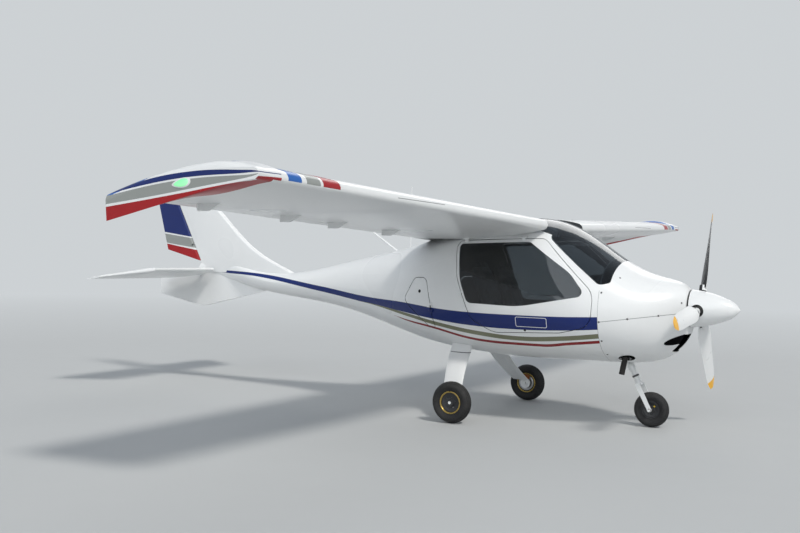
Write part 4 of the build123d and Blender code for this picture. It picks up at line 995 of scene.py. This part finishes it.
# Exhaust opening: painted shade, a dark oval sheet on the skin round the pipe where the opening's shade falls;
# it grows from the hole to its outer halves, and its middle slides forward to the hole
exhaustOpeningShade = {"place": (0.834, -0.252, 0.58), "half": (0.066, 0.062), "hole": 0.0465, "slide": 0.011,
                  "ray": (0.0, 0.42, 0.91), "rows": 7, "columns": 56, "back": 0.4, "far": 0.6, "lift": 0.0012}


def makeExhaustOpeningShade():
    e = exhaustOpeningShade
    skin = skinOf("cowl_lower")
    ray = Vector(e["ray"]).normalized()
    across = Vector((0, ray.z, -ray.y))
    middle = at(*e["place"])
    points = []
    for i in range(e["rows"]):
        share = i / (e["rows"] - 1)
        for k in range(e["columns"]):
            turn = 2 * math.pi * k / e["columns"]
            u = math.cos(turn) * (e["hole"] + (e["half"][0] - e["hole"]) * share) + e["slide"] * (1 - share)
            v = math.sin(turn) * (e["hole"] + (e["half"][1] - e["hole"]) * share)
            start = middle - Vector((u, 0, 0)) + across * v - ray * e["back"]
            hit = skin.ray_cast(start, ray)[0]
            if hit is None or (hit - start).length > e["far"]:
                points.append(points[-1].copy())
            else:
                points.append(hit - ray * e["lift"])
    shape = (points, gridQuads(e["rows"], e["columns"], closed=True))
    # the dark sheet is painted shade of the opening
    addPiece("exhaust_opening_shade", shape, "shadow", "airframe")


# Chin inlets: on each side, beside the middle opening, a dark sheet laid on the skin as painted shade of an
# opening, over a rounded white lip. The half height falls outwards as the root of one minus the power 2.6 of
# the way.
chinInletShadeAndLip = {"inner": 0.117, "outer": 0.246, "height": 0.752, "fall": 0.22, "half": 0.041, "least": 0.004,
             "from": 0.20, "lift": 0.0016, "columns": 16, "rows": 9, "lip": 0.0065, "lipBelow": 0.003,
             "lipLift": 0.001}


def makeChinInletShadesAndLips():
    c = chinInletShadeAndLip
    skin = skinOf("cowl_lower")
    ray = Vector((-1, 0, 0))

    def onCowl(side, height, lift):
        hit = skin.ray_cast(at(c["from"], side, height), ray)[0]
        return None if hit is None else hit - ray * lift

    for side, word in bothSides:
        points, lip = [], []
        for i in range(c["columns"]):
            share = i / (c["columns"] - 1)
            across = c["inner"] + (c["outer"] - c["inner"]) * share
            middle = c["height"] - c["fall"] * (across - c["inner"])
            half = max(c["least"], c["half"] * math.sqrt(max(0.0, 1 - share ** 2.6)))
            for j in range(c["rows"]):
                spot = onCowl(side * across, middle + half * (2 * j / (c["rows"] - 1) - 1), c["lift"])
                points.append(points[-1].copy() if spot is None else spot)
            edge = onCowl(side * across, middle - half - c["lipBelow"], c["lipLift"])
            if edge is not None:
                lip.append(edge)
        quads = gridQuads(c["columns"], c["rows"], flip=side > 0)
        # the dark sheet is painted shade of the inlet's opening
        addPiece("chin_inlet_shade_" + word, (points, quads), "shadow", "airframe")
        swell = np.sin(math.pi * np.linspace(0.12, 0.88, len(lip)))
        addPiece("chin_lip_" + word, tube(lip, c["lip"] * (0.35 + 0.65 * swell), 12), "legWhite", "airframe")


# Fuel caps on the wing's upper skin near the roots; the cap is (share of the radius, rise)
fuelCaps = {
    "station": 1.760, "side": 0.95, "radius": 0.036, "from": 3.0,
    "cap": [(0.0, 0.003), (0.30, 0.003), (0.33, 0.0015), (0.80, 0.002), (0.84, 0.0005), (0.90, 0.0005),
            (0.93, 0.002), (1.0, 0.0005), (1.02, -0.001)],
}


def makeFuelCaps():
    cap = np.array(fuelCaps["cap"]) * (fuelCaps["radius"], 1)
    for side, word in bothSides:
        start = at(fuelCaps["station"], side * fuelCaps["side"], fuelCaps["from"])
        hit, normal, _, _ = skinOf("wing_" + word).ray_cast(start, Vector((0, 0, -1)))
        if hit is None:
            continue
        upward = normal if normal.z > 0 else -normal
        addPiece("fuel_cap_" + word, turned(cap, hit, upward, 48), "steel", "airframe")


# Wing tip lights: a lit teardrop on the outer face of each tip, on a slim base of the same form
tipLights = {"station": 2.060, "height": 1.735, "length": 0.105, "tall": 0.021, "depth": 0.0090,
             "lean": 0.008, "blunt": 0.35, "rows": 26, "columns": 22, "from": 6.0,
             "lens": (1.0, 1.0), "base": (1.22, 0.45)}


# teardrop, blunt in front and drawn out behind: its half height and depth at a turn u along it are the sine
# of u times one plus a share of the cosine of u
def teardrop(foot, side, grow, deep):
    t = tipLights
    u = np.linspace(0, math.pi, t["rows"])[:, None]
    v = (2 * math.pi * np.arange(t["columns"]) / t["columns"])[None, :]
    fall = np.sin(u) * (1.0 + t["blunt"] * np.cos(u))
    points = spread(t["station"] - t["length"] * grow / 2 * np.cos(u),
                    foot + side * deep * t["depth"] * fall * np.cos(v),
                    t["height"] + t["tall"] * grow * fall * np.sin(v) + t["lean"] * np.cos(u))
    return points, gridQuads(t["rows"], t["columns"], closed=True, flip=side < 0)


def makeTipLights():
    for (side, word), look, slot in zip(bothSides, ("litGreen", "litRed"), ("lamp_green", "lamp_red")):
        t = tipLights
        foot = onSkin(("wing_" + word,), t["station"], t["height"], side, t["from"])[0].y
        lens = addPiece("tip_light_" + word, teardrop(foot, side, *t["lens"]), look, "airframe")
        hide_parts("tip_lamp_" + word)
        addPiece("tip_light_base_" + word, teardrop(foot, side, *t["base"]), "white", "airframe")


# Cabin: cushions, harness, panel, sticks

# channels lie at places along u; a channel is (depth, width), and the side channels' place along v comes third
seat = {
    "sides": (0.075, 0.395), "thick": 0.105, "crown": 0.028, "rows": 46, "columns": 34, "fill": 0.7,
    "pan": ((1.500, 0.720), (2.040, 0.732)), "panChannels": (-0.35, 0.25),
    "back": ((1.985, 0.800), (2.175, 1.290)), "backChannels": (-0.4, 0.1, 0.55),
    "channel": (0.016, 0.045), "sideChannel": (0.012, 0.05, 0.66),
}
# straps of one seat: a flat web over the back at two shares of its width, and a lap strap from each side
harness = {
    "half": 0.022, "flat": 0.14, "shares": (0.28, 0.72),
    "shoulder": [(2.150, 1.330), (2.105, 1.250), (2.045, 1.120), (1.985, 0.980), (1.925, 0.850)],
    "lap": [(2.00, 0.76), (1.93, 0.815), (1.90, 0.825)], "lapSides": (0.02, 0.08, 0.14),
}


# cushion between two points of its middle line. Along u and across v, both from -1 to 1, the edge is drawn in
# by the other one's fourth power, both faces swell as the roots of one minus their fifth powers, and channels
# are pressed into the upper one as bell curves.
def cushion(start, end, sides, channels):
    ahead = (end - start).normalized()
    across = Vector((0, 1, 0))
    up = ahead.cross(across).normalized()
    if up.z < 0 or (abs(up.z) < 0.5 and up.x < 0):
        up = -up
    u, v = np.meshgrid(np.linspace(-1, 1, seat["rows"]), np.linspace(-1, 1, seat["columns"]), indexing="ij")
    along = (u * (1 - 0.045 * v ** 4) + 1) / 2 * (end - start).length
    aside = sides[0] + (sides[1] - sides[0]) * (v * (1 - 0.06 * u ** 4) + 1) / 2
    rise = np.sqrt((1 - abs(u) ** 5) * (1 - abs(v) ** 5))
    (depth, width), (sideDepth, sideWidth, sideAt) = seat["channel"], seat["sideChannel"]
    pressed = sideDepth * np.exp(-((abs(v) - sideAt) / sideWidth) ** 2)
    pressed += sum(depth * np.exp(-((u - channel) / width) ** 2) for channel in channels)
    lower = -seat["thick"] / 2 * rise
    upper = (seat["thick"] / 2 + seat["crown"] * (1 - v * v) * (1 - u * u * 0.4) - pressed) * rise
    flat = np.array(start) + along[..., None] * np.array(ahead) + aside[..., None] * np.array(across)
    points = np.stack([flat + height[..., None] * np.array(up) for height in (upper, lower)])
    return points, shellQuads(seat["rows"], seat["columns"])


def makeSeats():
    for side, word in bothSides:
        sides = sorted(side * edge for edge in seat["sides"])
        for part in ("pan", "back"):
            start, end = (at(station, 0, height) for station, height in seat[part])
            shape = cushion(start, end, sides, seat[part + "Channels"])
            name = "seat_cushion_" if part == "pan" else "seat_back_"
            addPiece(name + word, shape, "cloth", "airframe")
        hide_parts("seat_" + word)
        straps = []
        for share in harness["shares"]:
            y = sides[0] + (sides[1] - sides[0]) * share
            path = [at(station, y, height) for station, height in harness["shoulder"]]
            straps.append(tube(path, harness["half"], 8, harness["flat"], (1, 0, 0.3)))
        for edge, inward in zip(sides, (1, -1)):
            path = [at(station, edge + inward * off, height)
                    for (station, height), off in zip(harness["lap"], harness["lapSides"])]
            straps.append(tube(path, harness["half"], 8, harness["flat"]))
        addPiece("harness_" + word, gather(straps), "webbing", "airframe")


# dials of two sizes; each has twelve marks and a pointer
panel = {
    "station": 1.1452,
    "dials": [(side, height, 0.040) for height in (1.130, 1.030) for side in (-0.30, -0.19)]
             + [(side, height, 0.030) for height in (1.130, 1.045) for side in (0.20, 0.28, 0.36)],
    "rim": [(1.0, -0.001), (1.12, 0.0), (1.15, 0.004), (1.06, 0.007), (0.97, 0.005), (0.95, 0.002)],
    "face": [(0.0, 0.002), (1.0, 0.002), (1.0, 0.0)], "mark": (0.72, 0.88, 0.0009), "markLift": 0.0026,
    "pointer": (0.66, [0.0018, 0.0008]), "pointerLift": 0.003, "turn": (130, 600),
    "screen": {"side": 0.12, "height": (1.06, 1.20),
               "rings": ((0.0, 0.0), (0.010, 0.0), (0.012, 0.004), (0.010, 0.012), (0.009, 0.014))},
    "knobs": (-0.09, -0.03, 0.03, 0.09), "knobHeight": 1.005,
    "knob": [(0.0, 0.016), (0.009, 0.016), (0.011, 0.013), (0.011, 0.003), (0.013, 0.0)],
}
# glare shield: a thin hood over the panel, from its station aft, with its width and fall
hood = {"station": 1.02, "depth": 0.17, "half": 0.40, "spread": 0.02, "height": 1.262, "thick": 0.006,
        "rows": 26, "columns": 8}
stick = {"station": 1.301, "side": 0.034, "height": 0.985, "lean": 0.14,
         "grip": [(0.0, 0.0), (0.014, 0.0), (0.017, 0.012), (0.015, 0.04), (0.018, 0.075), (0.016, 0.098),
                  (0.008, 0.106), (0.0, 0.107)]}


def makeDials():
    forward = Vector((-1, 0, 0))
    rims, faces, marks = [], [], []
    inner, outer, half = panel["mark"]
    reach, taper = panel["pointer"]
    for side, height, r in panel["dials"]:
        centre = at(panel["station"], side, height)
        rims.append(turned([(r * share, along) for share, along in panel["rim"]], centre, forward, 36))
        faces.append(turned([(r * share, along) for share, along in panel["face"]], centre, forward, 36))
        lifted = centre + forward * panel["markLift"]
        for k in range(12):
            out = Vector((0, math.cos(math.radians(30 * k)), math.sin(math.radians(30 * k)))) * r
            marks.append(tube([lifted + out * inner, lifted + out * outer], half, 4))
        turn = math.radians(panel["turn"][0] + panel["turn"][1] * side)
        lifted = centre + forward * panel["pointerLift"]
        out = Vector((0, math.cos(turn), math.sin(turn))) * r
        marks.append(tube([lifted, lifted + out * reach], taper, 6))
    addPiece("dial_rims", gather(rims), "darkSteel", "airframe")
    addPiece("dial_faces", gather(faces), "dial", "airframe")
    addPiece("dial_marks", gather(marks), "mark", "airframe")


def makePanel():
    makeDials()
    screen = panel["screen"]
    y, (low, high) = screen["side"], screen["height"]
    points = [at(panel["station"] + depth, across * (y - inset), (high - inset) if upper else (low + inset))
              for depth, inset in screen["rings"] for across, upper in ((-1, 0), (1, 0), (1, 1), (-1, 1))]
    quads = gridQuads(len(screen["rings"]), 4, closed=True, flip=True) + [[16, 17, 18, 19]]
    addPiece("panel_screen", (points, quads), "dial", "airframe", smooth=False)
    knobs = [turned(panel["knob"], at(panel["station"], side, panel["knobHeight"]), (-1, 0, 0), 18)
             for side in panel["knobs"]]
    addPiece("panel_knobs", gather(knobs), "trim", "airframe")
    # along u from front to rear and across v, the hood sags by v squared and rounds down at both ends
    v = np.linspace(-1, 1, hood["rows"])[:, None]
    u = np.linspace(0, 1, hood["columns"])[None, :]
    sag = 0.045 * v * v + 0.02 * (1 - u) + 0.012 * u ** 3
    layers = [spread(hood["station"] + hood["depth"] * u, v * (hood["half"] + hood["spread"] * u),
                     hood["height"] - sag - drop) for drop in (0.0, hood["thick"])]
    quads = shellQuads(hood["rows"], hood["columns"], flip=True)
    addPiece("glare_shield", (np.stack(layers), quads), "trim", "airframe")
    grips = [turned(stick["grip"], at(stick["station"], side * stick["side"], stick["height"]),
                    (stick["lean"], 0, 1), 20) for side in (-1, 1)]
    addPiece("stick_grips", gather(grips), "rubber", "airframe")


# Locks of the doors and hatches: node, body, station, height and radius; the disc is (share of radius, rise)
locks = {
    "places": [("door", "cabin_door", 1.591, 0.785, 0.011), ("baggage_hatch", "hatch", 2.612, 1.068, 0.015)],
    "disc": [(0.0, 0.0028), (0.3, 0.0028), (0.34, 0.0016), (0.8, 0.0020), (0.95, 0.0012), (1.0, -0.0008)],
}


def makeLocks():
    for node, body, station, height, r in locks["places"]:
        for side, word in bothSides:
            hit, normal = onSkin((node + "_" + word,), station, height, side)
            if hit is None:
                continue
            disc = turned(np.array(locks["disc"]) * (r, 1), hit, normal, 28)
            addPiece(node + "_lock_" + word, disc, "rubber", body + "_" + word)


# Floor: matt and pale, and for the camera alone it fades into the backdrop with the distance
def makeFloor():
    corners = [(x * studio["half"], y * studio["half"], 0) for x, y in ((-1, -1), (1, -1), (1, 1), (-1, 1))]
    mesh = bpy.data.meshes.new("studio_floor")
    mesh.from_pydata(corners, [], [(0, 1, 2, 3)])
    floor = bpy.data.objects.new("studio_floor", mesh)
    bpy.context.scene.collection.objects.link(floor)
    tree = Tree("paleFloor")
    tree.finish(studio["floor"], tree.scaled(tree.noise(3.0), 0.3, 0.7, 0.80, 0.92), Specular_IOR_Level=0.2)
    away = tree.vector("LENGTH", tree.vector("MULTIPLY", tree.coord(), (1, 1, 0)))
    path = tree.nodes.new("ShaderNodeLightPath")
    haze = tree.sums("MULTIPLY", tree.scaled(away, *studio["fade"], 0.0, 1.0), path.outputs["Is Camera Ray"])
    far = tree.nodes.new("ShaderNodeEmission")
    far.inputs["Color"].default_value = (*studio["backdrop"], 1)
    mix = tree.nodes.new("ShaderNodeMixShader")
    tree.links.new(haze, mix.inputs["Fac"])
    tree.links.new(tree.shader.outputs[0], mix.inputs[1])
    tree.links.new(far.outputs[0], mix.inputs[2])
    tree.links.new(mix.outputs[0], tree.nodes["Material Output"].inputs["Surface"])
    mesh.materials.append(tree.material)


makeCamera()
makeStudio()
makeLooks()
dressNodes()
print("stage: looks on")
makeFasteners()
makePropellerTrim()
makeWheels()
makeAxleEnds()
makeNoseGear()
makeMainGear()
makeExhaustOpeningShade()
makeChinInletShadesAndLips()
makeFuelCaps()
makeTipLights()
print("stage: outside pieces")
makeSeats()
makePanel()
makeLocks()
print("stage: cabin pieces")
makeFloor()
